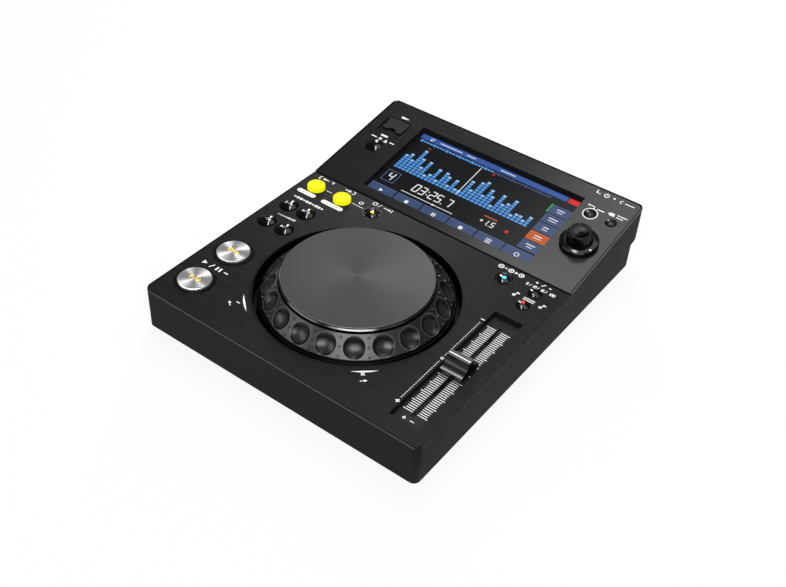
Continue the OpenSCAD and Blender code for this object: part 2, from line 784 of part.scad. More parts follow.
module power_supply() {
    b = POWER_BOARD;
    color([0.55, 0.42, 0.2]) {
        block([b[0], b[1], board_z], [b[2], b[3], board_top]);
        // Transformer, smoothing capacitors and a heat sink
        translate([b[0] + 38, b[1] + 14, board_top - 0.1]) cube([22, 24, 17]);
        for (x = [6, 20]) translate([b[0] + x, b[1] + 22, board_top - 0.1]) cylinder(r = 6, h = 17);
        translate([b[0] + 2, b[1] + 36, board_top - 0.1]) cube([30, 2, 14]);
    }
}

module key_board_left() {
    outer = 2 - in_w / 2;
    inner = search_at + search_pitch + 9;
    board_front = play_at - transport_r - 3;
    color([0.05, 0.25, 0.12]) {
        block([outer, board_front, key_top - board_t], [inner, loop_row + 11, key_top]);
        block([inner - 1, loop_row - 8, key_top - board_t], [reloop_at + 9, loop_row + 11, key_top]);
    }
}

module key_board_right() {
    color([0.05, 0.25, 0.12])
        block([vinyl_at - 9, master_row - 10, key_top - board_t], [in_w / 2 - 2, range_row + 10, key_top]);
}

module head_boards() {
    color([0.05, 0.25, 0.12]) on_head(0, 0, -head_under - head_drop - board_t) {
        block([stick_at - 14, stop_s - 12, 0], [stick_at + 14, stop_s + 10, board_t]);
        block([back_at - 7, selector_s - 12, 0], [tag_at + 6, menu_s + 6, board_t]);
    }
}

module tact_switches() {
    color([0.25, 0.25, 0.27]) {
        for (p = DECK_BUTTONS) translate([p[0], p[1], key_top]) tact_switch();
        for (p = HEAD_BUTTONS) on_head(p[0], p[1], -head_under - head_drop)
            translate([0, 0, head_drop - key_drop]) head_tact();
    }
}

// A tact switch on the deeper head boards stands on a longer base
module head_tact() {
    tact_switch();
    extra = head_drop - key_drop;
    translate([-tact_w / 2, -tact_w / 2, -extra]) cube([tact_w, tact_w, extra + 0.1]);
}

// Jog wheel

module jog_well() {
    outer = well_r + well_t;
    color([0.05, 0.05, 0.055]) translate([jog_x, jog_row, 0]) rotate_extrude($fn = 128) polygon([
        [bush_r + seat_gap / 5, bush_floor],
        [outer, bush_floor],
        [outer, plate_z - 2],
        [outer + well_flange, plate_z - 2],
        [outer + well_flange, plate_z],
        [outer, plate_z],
        [outer, deck_z],
        [well_r + 0.5, deck_z],
        [well_r, deck_z - 0.5],
        [well_r, deck_z - well_depth],
        [hub_r, deck_z - well_depth],
        [hub_r, ring_floor - 1],
        [bush_r + seat_gap / 5, ring_floor - 1]
    ]);
}

module jog_bearing() {
    color([0.72, 0.58, 0.32]) translate([jog_x, jog_row, 0]) rotate_extrude() polygon([
        [shaft_r + shaft_gap, bush_floor],
        [bush_r, bush_floor],
        [bush_r, ring_floor - 1],
        [bush_r + 2, ring_floor - 1],
        [bush_r + 2, ring_floor],
        [shaft_r + shaft_gap, ring_floor]
    ]);
}

// Heights of the encoder disc and of the light gate around its rim
function encoder_top() = bush_floor - stop_gap;
function encoder_floor() = encoder_top() - 3.6;

module jog_sensor() {
    color([0.1, 0.1, 0.1]) translate([jog_x + encoder_r, jog_row, 0]) difference() {
        block([-5, -4, encoder_floor() - 4], [7, 4, bush_floor]);
        block([-6, -5, encoder_floor() - 1], [1.5, 5, encoder_floor() + 2]);
    }
}

// A low bump that stands on the ring's slope, with a sloping shoulder.
module bump() {
    rotate_extrude() polygon([[0, -0.6], [bump_r, -0.6], [bump_r, 0.2 * bump_r],
        [0.55 * bump_r, 0.75 * bump_r], [0, 0.75 * bump_r]]);
}

module jog_ring() {
    low = deck_z + ring_low;
    high = deck_z + ring_high;
    mid_r = (slope_r + shoulder_r) / 2;
    mid_z = (low + high) / 2;
    ball = (dimple_d * dimple_d / 4 + dimple_depth * dimple_depth) / (2 * dimple_depth);
    reach = ball - dimple_depth;
    color([0.24, 0.24, 0.25]) translate([jog_x, jog_row, 0]) difference() {
        union() {
            rotate_extrude($fn = 128) polygon([
                [shaft_r + seat_gap / 5, hub_floor],
                [hub_r, hub_floor],
                [hub_r, web_floor],
                [collar_r - 3, web_floor],
                [jog_r - skirt_t, low - 1.6],
                [jog_r - skirt_t, ring_floor],
                [jog_r, ring_floor],
                [jog_r, low - lip_w * 2 / 3],
                [jog_r - lip_w / 3, low - lip_w / 3],
                [slope_r, low - lip_w / 3],
                [slope_r, low],
                [shoulder_r, high],
                [collar_r, high],
                [collar_r, web_top],
                [shaft_r + 2, web_top],
                [shaft_r + 2, socket_floor],
                [shaft_r + seat_gap / 5, socket_floor]
            ]);
            // Three bumps in a row between each two dimples
            for (i = [0 : dimple_n - 1], t = [-0.36, 0, 0.36])
                rotate(270 + (i + 0.5) * 360 / dimple_n)
                    translate([mid_r + t * slope_run, 0, mid_z - t * slope_rise])
                        rotate([0, slope_a, 0]) rotate(37) bump();
        }
        for (i = [0 : dimple_n - 1]) rotate(270 + i * 360 / dimple_n)
            translate([mid_r + reach * sin(slope_a), 0, mid_z + reach * cos(slope_a)])
                sphere(ball, $fn = 128);
    }
}

module jog_shaft() {
    color([0.7, 0.7, 0.72]) translate([jog_x, jog_row, encoder_floor() - 2])
        cylinder(r = shaft_r, h = socket_floor - encoder_floor() + 1.8);
}

module encoder_disc() {
    color([0.55, 0.55, 0.57]) translate([jog_x, jog_row, encoder_floor()]) difference() {
        union() {
            cylinder(r = encoder_r, h = 1);
            cylinder(r = shaft_r + 2.5, h = encoder_top() - encoder_floor());
        }
        translate([0, 0, -1]) cylinder(r = shaft_r + seat_gap / 5, h = 9);
        for (i = [0 : encoder_n - 1]) rotate(i * 360 / encoder_n)
            translate([encoder_r - 4.5, -0.6, -1]) cube([3, 1.2, 3]);
    }
}

module jog_plate() {
    boss = shaft_r + 2 - shaft_gap * 2;
    color([0.36, 0.36, 0.37]) translate([jog_x, jog_row, 0]) {
        translate([0, 0, jog_plate_floor]) rotate_extrude($fn = 128) polygon([
            [0, 0],
            [plate_r + plate_foot, 0],
            [plate_r + plate_foot, plate_foot * 2 / 3],
            [plate_r, plate_foot * 5 / 3],
            [plate_r, jog_plate_t - plate_bevel],
            [plate_r - plate_bevel, jog_plate_t],
            [0, jog_plate_t]
        ]);
        translate([0, 0, socket_floor + 0.8]) cylinder(r = boss, h = jog_plate_floor - socket_floor - 0.7);
    }
}

// Transport and deck buttons

module transport_rims() {
    color([0.04, 0.04, 0.04]) for (p = TRANSPORT_PLACES) translate([p[0], p[1], 0])
        rotate_extrude() polygon([
            [p[2] + button_gap, case_top],
            [p[2] + button_gap + rim_w, case_top],
            [p[2] + button_gap + rim_w, deck_z + rim_high - 0.3],
            [p[2] + button_gap + rim_w - 0.3, deck_z + rim_high],
            [p[2] + button_gap + 0.5, deck_z + rim_high],
            [p[2] + button_gap, deck_z + rim_high - 0.3]
        ]);
}

module dished_rings() {
    color([0.06, 0.06, 0.06]) for (p = DISHED_PLACES) translate([p[0], p[1], 0])
        rotate_extrude() polygon([
            [dished_r + button_gap, case_top],
            [dish_r, case_top],
            [dish_r, deck_z + 0.2],
            [dish_r - 0.8, deck_z + 0.2],
            [dished_r + button_gap + 0.7, deck_z - dish_depth],
            [dished_r + button_gap, deck_z - dish_depth]
        ]);
}

module transport_cap() {
    flat_cap(transport_r, deck_z + transport_high - plate_z + 0.5, 0.6);
}

module play_button() { deck_button(DECK_BUTTONS[0], [0.7, 0.7, 0.72]) transport_cap(); }
module cue_button() { deck_button(DECK_BUTTONS[1], [0.7, 0.7, 0.72]) transport_cap(); }

module loop_cap() {
    flat_cap(loop_r, deck_z + loop_high - plate_z + 0.5, 0.7);
}

module loop_in_button() { deck_button(DECK_BUTTONS[2], [0.97, 0.95, 0.1]) loop_cap(); }
module loop_out_button() { deck_button(DECK_BUTTONS[3], [0.97, 0.95, 0.1]) loop_cap(); }

// A domed cap on the deck whose rim is level with the deck's top face, lifted by rim_lift
module deck_dome(r, rim_lift, high) {
    domed_cap(r, deck_z + rim_lift - plate_z + 0.5, deck_z + high - plate_z + 0.5);
}

module search_button(i) {
    deck_button(DECK_BUTTONS[i], [0.04, 0.04, 0.04]) deck_dome(search_r, 0.5, search_high);
}

module dished_button(i) {
    deck_button(DECK_BUTTONS[i], [0.05, 0.05, 0.05]) deck_dome(dished_r, -0.2, 0.7);
}

module tempo_button(i) {
    deck_button(DECK_BUTTONS[i], [0.04, 0.04, 0.04]) deck_dome(tempo_r, 0.4, tempo_high);
}

module reloop_button() { dished_button(4); }
module track_back_button() { search_button(5); }
module track_forward_button() { search_button(6); }
module search_back_button() { search_button(7); }
module search_forward_button() { search_button(8); }
module vinyl_button() { dished_button(9); }
module tempo_range_button() { tempo_button(10); }
module master_tempo_button() { tempo_button(11); }

// Tempo fader

tray_top = plate_z;
tray_floor = tray_top - tray_t;
fader_box_h = 10;
carriage_h = 5;

module fader_tray() {
    slot_l = 2 * fader_travel + lever_l + 2;
    color([0.06, 0.06, 0.065]) translate([fader_at, fader_row, tray_floor]) difference() {
        translate([-recess_w / 2 - tray_margin, -recess_l / 2 - tray_margin, 0])
            cube([recess_w + 2 * tray_margin, recess_l + 2 * tray_margin, tray_t]);
        translate([0, 0, -1]) linear_extrude(tray_t + 2) square([slot_w, slot_l], center = true);
    }
}

module fader_housing() {
    inner_l = 2 * fader_travel + 2 * lever_l + 6;
    outer_l = inner_l + 5;
    color([0.62, 0.63, 0.65]) translate([fader_at, fader_row, tray_floor - fader_box_h]) difference() {
        translate([-6.5, -outer_l / 2, 0]) cube([13, outer_l, fader_box_h]);
        translate([-4.7, -inner_l / 2, 1.2]) cube([9.4, inner_l, fader_box_h - 2.4]);
        translate([-slot_w / 2, -inner_l / 2, 1]) cube([slot_w, inner_l, fader_box_h + 1]);
    }
}

module fader_lever() {
    floor_z = tray_floor - fader_box_h + 1.2 + stop_gap;
    color([0.75, 0.75, 0.77]) translate([fader_at, fader_row, 0]) {
        block([-4.4, -lever_l, floor_z], [4.4, lever_l, floor_z + carriage_h]);
        block([-lever_t / 2, -lever_l / 2, floor_z + 1], [lever_t / 2, lever_l / 2, deck_z + 4]);
    }
}

module fader_cap() {
    foot = tray_top + 1;
    scoop_l = (cap_l - ridge_l) / 2;
    scoop_h = cap_high - lip_high;
    color([0.04, 0.04, 0.045]) translate([fader_at, fader_row, 0]) difference() {
        block([-cap_w / 2, -cap_l / 2, foot], [cap_w / 2, cap_l / 2, deck_z + cap_high]);
        // The hollow slopes before and behind the ridge
        for (side = [-1, 1]) translate([-cap_w, side * (ridge_l / 2 + scoop_h), deck_z + cap_high])
            rotate([0, 90, 0]) cylinder(r = scoop_h, h = 2 * cap_w, $fn = 96);
        for (side = [-1, 1])
            translate([-cap_w, side * (ridge_l / 2 + scoop_h + scoop_l), deck_z + lip_high + scoop_l])
                cube([2 * cap_w, 2 * scoop_l, 2 * scoop_l], center = true);
        block([-lever_t / 2 - 0.02, -lever_l / 2 - 0.02, foot - 1],
            [lever_t / 2 + 0.02, lever_l / 2 + 0.02, deck_z + 4.02]);
    }
}

// Head controls

module back_ring() {
    color([0.92, 0.92, 0.92]) on_head(back_at, menu_s, -head_t) rotate_extrude() polygon([
        [menu_r + button_gap, 0],
        [back_ring_r(), 0],
        [back_ring_r(), head_t + 0.3],
        [back_ring_r() - ring_w, head_t + 0.3],
        [menu_r + button_gap, head_t - 0.5]
    ]);
}

function back_ring_r() = menu_r + button_gap + ring_w + 0.2;

// A domed cap on the head whose rim is lifted over the panel
module head_dome(r, rim_lift, high) {
    domed_cap(r, head_under + rim_lift + 0.5, head_under + high + 0.5);
}

module stop_button() { head_button(HEAD_BUTTONS[0], [0.04, 0.04, 0.04]) head_dome(stop_r, 0.4, stop_high); }
module back_button() { head_button(HEAD_BUTTONS[1], [0.06, 0.06, 0.06]) head_dome(menu_r, 0, menu_high); }
module tag_button() { head_button(HEAD_BUTTONS[2], [0.06, 0.06, 0.06]) head_dome(menu_r, 0, menu_high); }

module light_lenses() {
    color([0.95, 0.95, 0.95]) {
        on_head(standby_at, standby_s, -head_t) cylinder(r = standby_r, h = head_t + 0.1, $fn = 32);
        on_head(stick_at - bar_w / 2, bar_s - bar_l / 2, -head_t) cube([bar_w, bar_l, head_t + 0.1]);
    }
}

module selector_encoder() {
    bore = stem_r + shaft_gap;
    color([0.5, 0.5, 0.52]) on_head(selector_at, selector_s, -head_under - head_drop) difference() {
        union() {
            translate([-encoder_w / 2, -encoder_w / 2, 0]) cube([encoder_w, encoder_w, head_drop]);
            cylinder(r = stem_r + 1, h = head_drop + head_under - 0.2);
        }
        translate([0, 0, -1]) cylinder(r = bore, h = head_drop + head_under + 2);
        translate([0, 0, rotor_floor()]) cylinder(r = rotor_r() + stop_gap, h = rotor_h() + 2 * stop_gap);
    }
}

function rotor_r() = encoder_w / 2 - 1.6;
function rotor_h() = 2.8;
function rotor_floor() = head_drop / 2 - rotor_h() / 2 - stop_gap;

module selector_rotor() {
    foot = rotor_floor() + stop_gap - head_under - head_drop;
    color([0.8, 0.8, 0.78]) on_head(selector_at, selector_s, foot)
        difference() {
            cylinder(r = rotor_r(), h = rotor_h());
            translate([0, 0, -1]) cylinder(r = stem_r + shaft_gap, h = rotor_h() + 2);
        }
}

module selector_shaft() {
    foot = 1 - head_under - head_drop;
    color([0.7, 0.7, 0.72]) on_head(selector_at, selector_s, foot)
        cylinder(r = stem_r, h = knob_high - 4 - foot);
}

module selector_knob() {
    foot = selector_press + stop_gap;
    grip_z = foot + skirt_h + 0.6;
    lean = atan2(grip_r - grip_top_r, knob_high - grip_z);
    color([0.04, 0.04, 0.04]) on_head(selector_at, selector_s) difference() {
        rotate_extrude($fn = 96) polygon([
            [0, foot],
            [skirt_r, foot],
            [skirt_r, foot + skirt_h - 0.8],
            [skirt_r - 0.8, foot + skirt_h],
            [grip_r + 0.6, grip_z],
            [grip_r, grip_z],
            [grip_top_r, knob_high - 0.5],
            [grip_top_r - 0.5, knob_high],
            [grip_top_r - 1.4, knob_high],
            [0, knob_high - 0.7]
        ]);
        translate([0, 0, foot - 1])
            cylinder(r = stem_r + seat_gap / 5, h = knob_high - 4 - foot + 1 + 0.05);
        for (i = [0 : flute_n - 1]) rotate(i * 360 / flute_n)
            translate([grip_r + 0.1, 0, grip_z + 0.2]) rotate([0, -lean, 0])
                cylinder(r = flute_r, h = knob_high, $fn = 24);
    }
}

// Memory-stick compartment

function hinge_s() = stick_s + stick_l / 2 - lid_t / 2 - 0.35;
function hinge_n() = -0.2 - lid_t / 2;
function pin_length() = stick_w + 3;
function bay_middle_s() = stick_s + stick_l / 2 - 1.6 - bay_l / 2;

module usb_well() {
    wall = 1.6;
    depth = bay_depth - head_under;
    color([0.07, 0.07, 0.07]) on_head(stick_at, bay_middle_s(), -bay_depth) difference() {
        translate([-bay_w / 2 - wall, -bay_l / 2 - wall, -wall])
            cube([bay_w + 2 * wall, bay_l + 2 * wall, depth + wall]);
        translate([-bay_w / 2, -bay_l / 2, 0]) cube([bay_w, bay_l, depth + 1]);
        translate([-6.6 - seat_gap, -2.9 - seat_gap, -wall - 1])
            cube([13.2 + 2 * seat_gap, 5.8 + 2 * seat_gap, wall + 2]);
    }
}

module usb_socket() {
    depth = 15;
    color([0.72, 0.73, 0.75]) on_head(stick_at, bay_middle_s(), -bay_depth - depth) {
        difference() {
            translate([-6.6, -2.9, 0]) cube([13.2, 5.8, depth]);
            translate([-6.25, -2.56, 2]) cube([12.5, 5.12, depth]);
        }
        translate([-5.6, -1.9, 1]) cube([11.2, 1.8, depth - 3]);
    }
}

module lid_pin() {
    color([0.7, 0.7, 0.72]) on_head(stick_at - pin_length() / 2, hinge_s(), hinge_n()) rotate([0, 90, 0])
        cylinder(r = pin_r, h = pin_length(), $fn = 32);
}

module usb_lid() {
    lid_front = stick_s - stick_l / 2 + lid_gap;
    color([0.15, 0.15, 0.155]) on_head(stick_at, 0, hinge_n()) difference() {
        union() {
            block([-lid_w / 2, lid_front, -lid_t / 2], [lid_w / 2, hinge_s(), lid_t / 2]);
            translate([-lid_w / 2, hinge_s(), 0]) rotate([0, 90, 0])
                cylinder(r = lid_t / 2, h = lid_w, $fn = 32);
        }
        translate([-lid_w, hinge_s(), 0]) rotate([0, 90, 0])
            cylinder(r = pin_r + shaft_gap, h = 2 * lid_w, $fn = 32);
        translate([0, lid_front - notch_r / 3, -lid_t]) cylinder(r = notch_r, h = 2 * lid_t);
    }
}

// Sockets on the back: width, height and depth of each body behind the rear panel
function inlet_size() = [26, 12.4, 20];
function lan_size() = [16, 13.4, 18];
function data_size() = [12, 10.8, 16];

// The hole that a socket's body fills in the rear panel
module socket_hole(x, size) {
    block([x - size[0] / 2 - seat_gap, rear_y - 1, board_top - seat_gap],
        [x + size[0] / 2 + seat_gap, back_y + 1, board_top + size[1] + seat_gap]);
}

// A socket's body, standing on its board, with its mouth 0.6 proud of the rear panel
module socket_body(x, size) {
    block([x - size[0] / 2, back_y + 0.6 - size[2], board_top],
        [x + size[0] / 2, back_y + 0.6, board_top + size[1]]);
}

module power_inlet() {
    color([0.08, 0.08, 0.08]) {
        difference() {
            socket_body(inlet_at, inlet_size());
            for (side = [-1, 1]) translate([inlet_at + side * 4.3, back_y + 1, socket_z]) rotate([90, 0, 0])
                cylinder(r = 4, h = 13);
            block([inlet_at - 4.3, back_y - 12, socket_z - 4], [inlet_at + 4.3, back_y + 1, socket_z + 4]);
        }
        for (side = [-1, 1]) translate([inlet_at + side * 4.3, back_y - 2, socket_z]) rotate([90, 0, 0])
            cylinder(r = 1.2, h = 11, $fn = 24);
    }
}

module network_socket() {
    mid = board_top + lan_size()[1] / 2;
    color([0.7, 0.71, 0.73]) difference() {
        socket_body(lan_at, lan_size());
        block([lan_at - 5.9, back_y - 13, mid - 4], [lan_at + 5.9, back_y + 1, mid + 3]);
        block([lan_at - 3, back_y - 8, mid + 2.5], [lan_at + 3, back_y + 1, mid + 5]);
    }
}

module data_socket() {
    mid = board_top + data_size()[1] / 2;
    color([0.74, 0.75, 0.77]) {
        difference() {
            socket_body(data_at, data_size());
            block([data_at - 4.2, back_y - 9, mid - 3.9], [data_at + 4.2, back_y + 1, mid + 3.9]);
        }
        block([data_at - 2.8, back_y - 10, mid - 1.6], [data_at + 2.8, back_y - 1, mid + 1.6]);
    }
}

module audio_jacks() {
    color([0.75, 0.75, 0.74]) difference() {
        union() {
            block([jack_at - 9, rear_y - 12, board_top],
                [jack_at + jack_pitch + 9, rear_y, board_top + 12.4]);
            for (i = [0, 1]) translate([jack_at + i * jack_pitch, back_y, socket_z]) rotate([90, 0, 0]) {
                translate([0, 0, -jack_l]) cylinder(r = jack_r, h = jack_l + 0.5);
                cylinder(r = jack_r + jack_collar, h = rear_t + 1);
            }
        }
        for (i = [0, 1]) translate([jack_at + i * jack_pitch, back_y + jack_l + 1, socket_z])
            rotate([90, 0, 0]) cylinder(r = 1.6, h = jack_l + 6);
    }
}

// The inner end of the power button
function power_end() = body_d / 2 - 0.3 - (wall_t + 6);

module power_switch() {
    inner = in_d / 2;
    color([0.12, 0.12, 0.12]) difference() {
        block([power_at - 8, inner - 11, power_z - 7], [power_at + 8, inner, power_z + 6]);
        translate([power_at, inner + 1, power_z]) rotate([90, 0, 0])
            cylinder(r = power_r + button_gap, h = inner + 1 - power_end() + power_press + 0.7);
    }
}

module power_button() {
    color([0.05, 0.05, 0.05]) translate([power_at, body_d / 2 - 0.3, power_z]) rotate([90, 0, 0])
        cylinder(r = power_r, h = body_d / 2 - 0.3 - power_end());
}

main_case();
deck_panel();
head_panel();
base_plate();
rear_panel();
feet();
case_screws();
display_glass();
display_module();
main_board();
power_supply();
key_board_left();
key_board_right();
head_boards();
tact_switches();
jog_well();
jog_bearing();
jog_sensor();
fader_tray();
fader_housing();
transport_rims();
dished_rings();
back_ring();
usb_well();
usb_socket();
lid_pin();
light_lenses();
selector_encoder();
power_switch();
power_inlet();
network_socket();
data_socket();
audio_jacks();
jog_ring();
jog_shaft();
encoder_disc();
jog_plate();
play_button();
cue_button();
loop_in_button();
loop_out_button();
reloop_button();
track_back_button();
track_forward_button();
search_back_button();
search_forward_button();
vinyl_button();
tempo_range_button();
master_tempo_button();
stop_button();
back_button();
tag_button();
fader_cap();
fader_lever();
selector_rotor();
selector_shaft();
selector_knob();
usb_lid();
power_button();
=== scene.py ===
# %% [markdown]
# # Looks for a table-top media player
# The solids of this player come from a CAD model that is loaded as a fixed frame. Everything below
# gives those solids their finishes and adds what a drawing of solids leaves out: print on the deck,
# the lit picture on the display, lamps in the buttons, contacts in the sockets. Lengths are written
# in millimetres, as on a drawing, and multiplied by MM where Blender wants metres.

# %% Load the frame
import math

import bmesh
import bpy
from mathutils import Matrix, Vector


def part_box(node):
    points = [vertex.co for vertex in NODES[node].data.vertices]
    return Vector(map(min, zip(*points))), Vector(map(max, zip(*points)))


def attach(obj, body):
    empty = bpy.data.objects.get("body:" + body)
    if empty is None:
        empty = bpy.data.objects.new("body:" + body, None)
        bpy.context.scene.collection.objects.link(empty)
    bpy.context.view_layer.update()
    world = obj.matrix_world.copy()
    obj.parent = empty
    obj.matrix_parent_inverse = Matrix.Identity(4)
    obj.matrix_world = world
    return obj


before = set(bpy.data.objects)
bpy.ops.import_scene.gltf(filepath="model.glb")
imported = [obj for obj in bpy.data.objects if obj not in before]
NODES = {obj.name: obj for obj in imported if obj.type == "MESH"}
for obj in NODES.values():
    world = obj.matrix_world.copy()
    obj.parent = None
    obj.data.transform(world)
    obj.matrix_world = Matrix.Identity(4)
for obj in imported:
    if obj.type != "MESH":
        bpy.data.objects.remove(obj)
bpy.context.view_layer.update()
MM = 0.001
scene = bpy.context.scene
scene.view_settings.view_transform = "Standard"

# %% [markdown]
# ## Drawing planes
# Nearly all the print lies on two planes: the flat deck and the tilted head. A piece of print is
# drawn in two numbers, like on paper, and a small function carries them to the real place. On the
# deck these are x and y of the frame. On the head they are x and the distance up the slope. The top
# of a button is a third kind of plane, with its zero point in the middle of the button.

# %% The planes
DECK_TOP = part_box("deck_panel")[1].z / MM
HEAD_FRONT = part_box("head_panel")[0].y / MM
HEAD_STEP = 0.3
HEAD_LOW = DECK_TOP + HEAD_STEP
HEAD_TILT = math.radians(9.17)


def middle(name):
    low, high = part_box(name)
    return (low + high) / 2 / MM


def level(z, x0=0.0, y0=0.0):
    """A level drawing plane at the height z, with its own zero point."""
    return lambda x, y, up=0.0: Vector((x0 + x, y0 + y, z + up)) * MM


def on_button(name):
    """The plane on top of a piece, drawn from the middle of the piece."""
    centre = middle(name)
    return level(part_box(name)[1].z / MM, centre.x, centre.y)


def on_head(x, s, up=0.0):
    c, d = math.cos(HEAD_TILT), math.sin(HEAD_TILT)
    return Vector((x, HEAD_FRONT + s * c - up * d, HEAD_LOW + s * d + up * c)) * MM


on_deck = level(DECK_TOP)
on_tray = level(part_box("fader_tray")[1].z / MM)
print("deck at", round(DECK_TOP, 2), "head starts at y", round(HEAD_FRONT, 2))

# %% [markdown]
# ## The camera
# The photograph was taken from the front right corner with a normal lens. Its angle, height and
# slight roll were found by fitting the corners of the housing. The camera is built from its own
# three axes, so the roll is kept exactly.

# %% Camera
AZIMUTH, ELEVATION, ROLL = map(math.radians, (34.49, 40.93, 3.48))
AIM = Vector((5.1, -19.8, 16.9)) * MM
DISTANCE = 0.8292
LENS, SENSOR = 50.52, 36.0


def direction(azimuth, elevation):
    """The way from the object to a camera or a lamp; azimuth 0 is the front."""
    level_part = math.cos(elevation)
    return Vector((math.sin(azimuth) * level_part, -math.cos(azimuth) * level_part, math.sin(elevation)))


def add_camera():
    back = direction(AZIMUTH, ELEVATION)
    right = Vector((math.cos(AZIMUTH), math.sin(AZIMUTH), 0))
    up = back.cross(right)
    right, up = (right * math.cos(ROLL) + up * math.sin(ROLL),
                 up * math.cos(ROLL) - right * math.sin(ROLL))
    data = bpy.data.cameras.new("camera")
    data.lens, data.sensor_width, data.sensor_fit = LENS, SENSOR, "HORIZONTAL"
    data.clip_start, data.clip_end = 0.01, 50
    camera = bpy.data.objects.new("camera", data)
    turn = Matrix((right, up, back)).transposed().to_4x4()
    camera.matrix_world = Matrix.Translation(AIM + back * DISTANCE) @ turn
    scene.collection.objects.link(camera)
    scene.camera = camera
    return camera


print("camera at", [round(v, 3) for v in add_camera().location])

# %% [markdown]
# ## Studio
# The object stands on a white sweep. Black gloss shows mostly what it mirrors, so the lamps matter
# more than the paint: a wide soft box behind the right shoulder lays a sheen on the right of the
# head, and two narrow boxes in the camera's own plane draw the upright streaks in the domed caps
# and the fans in the spun metal. They leave out the height that a flat deck would mirror. A broad
# glow and a thin strip at the front stand where the slope of the jog ring mirrors them, so that its
# dents read as hollows, and two weak fills keep the sides from going black.

# %% Lamps


def soft_box(name, azimuth, elevation, reach, wide, tall, watts, aim=(0, 0, 40)):
    """A rectangular lamp, placed by its direction from the object, facing it."""
    back = direction(math.radians(azimuth), math.radians(elevation))
    data = bpy.data.lights.new(name, "AREA")
    data.shape, data.size, data.size_y, data.energy = "RECTANGLE", wide, tall, watts
    lamp = bpy.data.objects.new(name, data)
    lamp.rotation_mode = "QUATERNION"
    lamp.location = Vector(aim) * MM + back * reach
    lamp.rotation_quaternion = (-back).to_track_quat("-Z", "Y")
    scene.collection.objects.link(lamp)
    return lamp


VIEW_PLANE = 180 + math.degrees(AZIMUTH)
soft_box("fan_high", VIEW_PLANE, 76, 1.4, 0.075, 0.66, 8)
soft_box("fan_low", VIEW_PLANE, 19, 1.6, 0.075, 0.7, 7)
RING_FRONT = (35, -109, 45)
soft_box("front_glow", 30, 39, 1.5, 1.4, 0.6, 7, RING_FRONT)
soft_box("front_spark", 37, 46.5, 1.5, 1.1, 0.12, 4, RING_FRONT)
soft_box("left_fill", 320, 28, 1.6, 1.2, 0.6, 4)
soft_box("right_fill", 84, 32, 1.6, 0.9, 0.6, 0.6)

# The edge of this box is laid where the head's own mirror image of it should end.
sheen = soft_box("head_sheen", 180, 90, 1, 1.0, 0.6, 4.5)
sheen.location = (0.05, 0.57, 1.05)
sheen.rotation_quaternion = Matrix.Rotation(math.radians(-19.7), 3, "Z").to_quaternion()

# %% [markdown]
# Shaders are trees of nodes, and two helpers keep the code of the trees below short.


# %% Helpers for nodes
def node(tree, kind, inputs=None, **settings):
    """A new node: inputs are plain values or sockets to link, settings its own options."""
    made = tree.nodes.new("ShaderNode" + kind)
    for label, value in settings.items():
        setattr(made, label, value)
    for label, value in (inputs or {}).items():
        if isinstance(value, bpy.types.NodeSocket):
            tree.links.new(value, made.inputs[label])
        else:
            made.inputs[label].default_value = value
    return made


def maths(tree, operation, a, b=0.0):
    return node(tree, "Math", {0: a, 1: b}, operation=operation).outputs[0]


# %% [markdown]
# White paper is lit like everything else, so it would come out grey. The camera, mirrors and glass
# see it as an even white instead, apart from a small share that keeps the object's shadow.


# %% World and floor
WORLD_STRENGTH = 0.12
PAPER_GREY, PAPER_ROUGH, WHITE_SHARE = 0.9, 0.9, 0.9
FLOOR_HALF, FLOOR_LOW = 12, -0.05 * MM


def white_for_the_eye(tree, plain):
    rays = node(tree, "LightPath").outputs
    mirrored = maths(tree, "MAXIMUM", rays["Is Glossy Ray"], rays["Is Transmission Ray"])
    seen = maths(tree, "MAXIMUM", rays["Is Camera Ray"], mirrored)
    white = node(tree, "Emission", {"Strength": 1.0}).outputs[0]
    share = maths(tree, "MULTIPLY", seen, WHITE_SHARE)
    return node(tree, "MixShader", {0: share, 1: plain, 2: white}).outputs[0]


def add_stage():
    world = bpy.data.worlds.new("studio")
    world.use_nodes = True
    scene.world = world
    tree = world.node_tree
    tree.nodes["Background"].inputs["Color"].default_value = (1, 1, 1, 1)
    tree.nodes["Background"].inputs["Strength"].default_value = WORLD_STRENGTH

    mesh = bpy.data.meshes.new("floor")
    corners = [(x * FLOOR_HALF, y * FLOOR_HALF, FLOOR_LOW) for x, y in ((-1, -1), (1, -1), (1, 1), (-1, 1))]
    mesh.from_pydata(corners, [], [(0, 1, 2, 3)])
    floor = bpy.data.objects.new("floor", mesh)
    scene.collection.objects.link(floor)
    paper = bpy.data.materials.new("sweep_paper")
    paper.use_nodes = True
    tree = paper.node_tree
    bsdf = tree.nodes["Principled BSDF"]
    bsdf.inputs["Base Color"].default_value = (PAPER_GREY, PAPER_GREY, PAPER_GREY, 1)
    bsdf.inputs["Roughness"].default_value = PAPER_ROUGH
    tree.links.new(white_for_the_eye(tree, bsdf.outputs[0]), tree.nodes["Material Output"].inputs["Surface"])
    mesh.materials.append(paper)


add_stage()
print("world strength:", WORLD_STRENGTH)

# %% [markdown]
# ## Building blocks for finishes
# Plastic, ink and brushed metal are never one flat colour. Each effect that several finishes share
# is a node group with its own inputs, built once. A group gives out colours, values and heights; the
# shader itself stays in the material.


# %% Colours and empty groups
def tone(red, green=None, blue=None):
    """A colour as a picture editor shows it, 0 to 255, as the linear numbers that Blender mixes."""
    parts = (red, red, red) if green is None else (red, green, blue)
    return tuple((v / 255 / 12.92) if v <= 10 else ((v / 255 + 0.055) / 1.055) ** 2.4
                 for v in parts) + (1.0,)


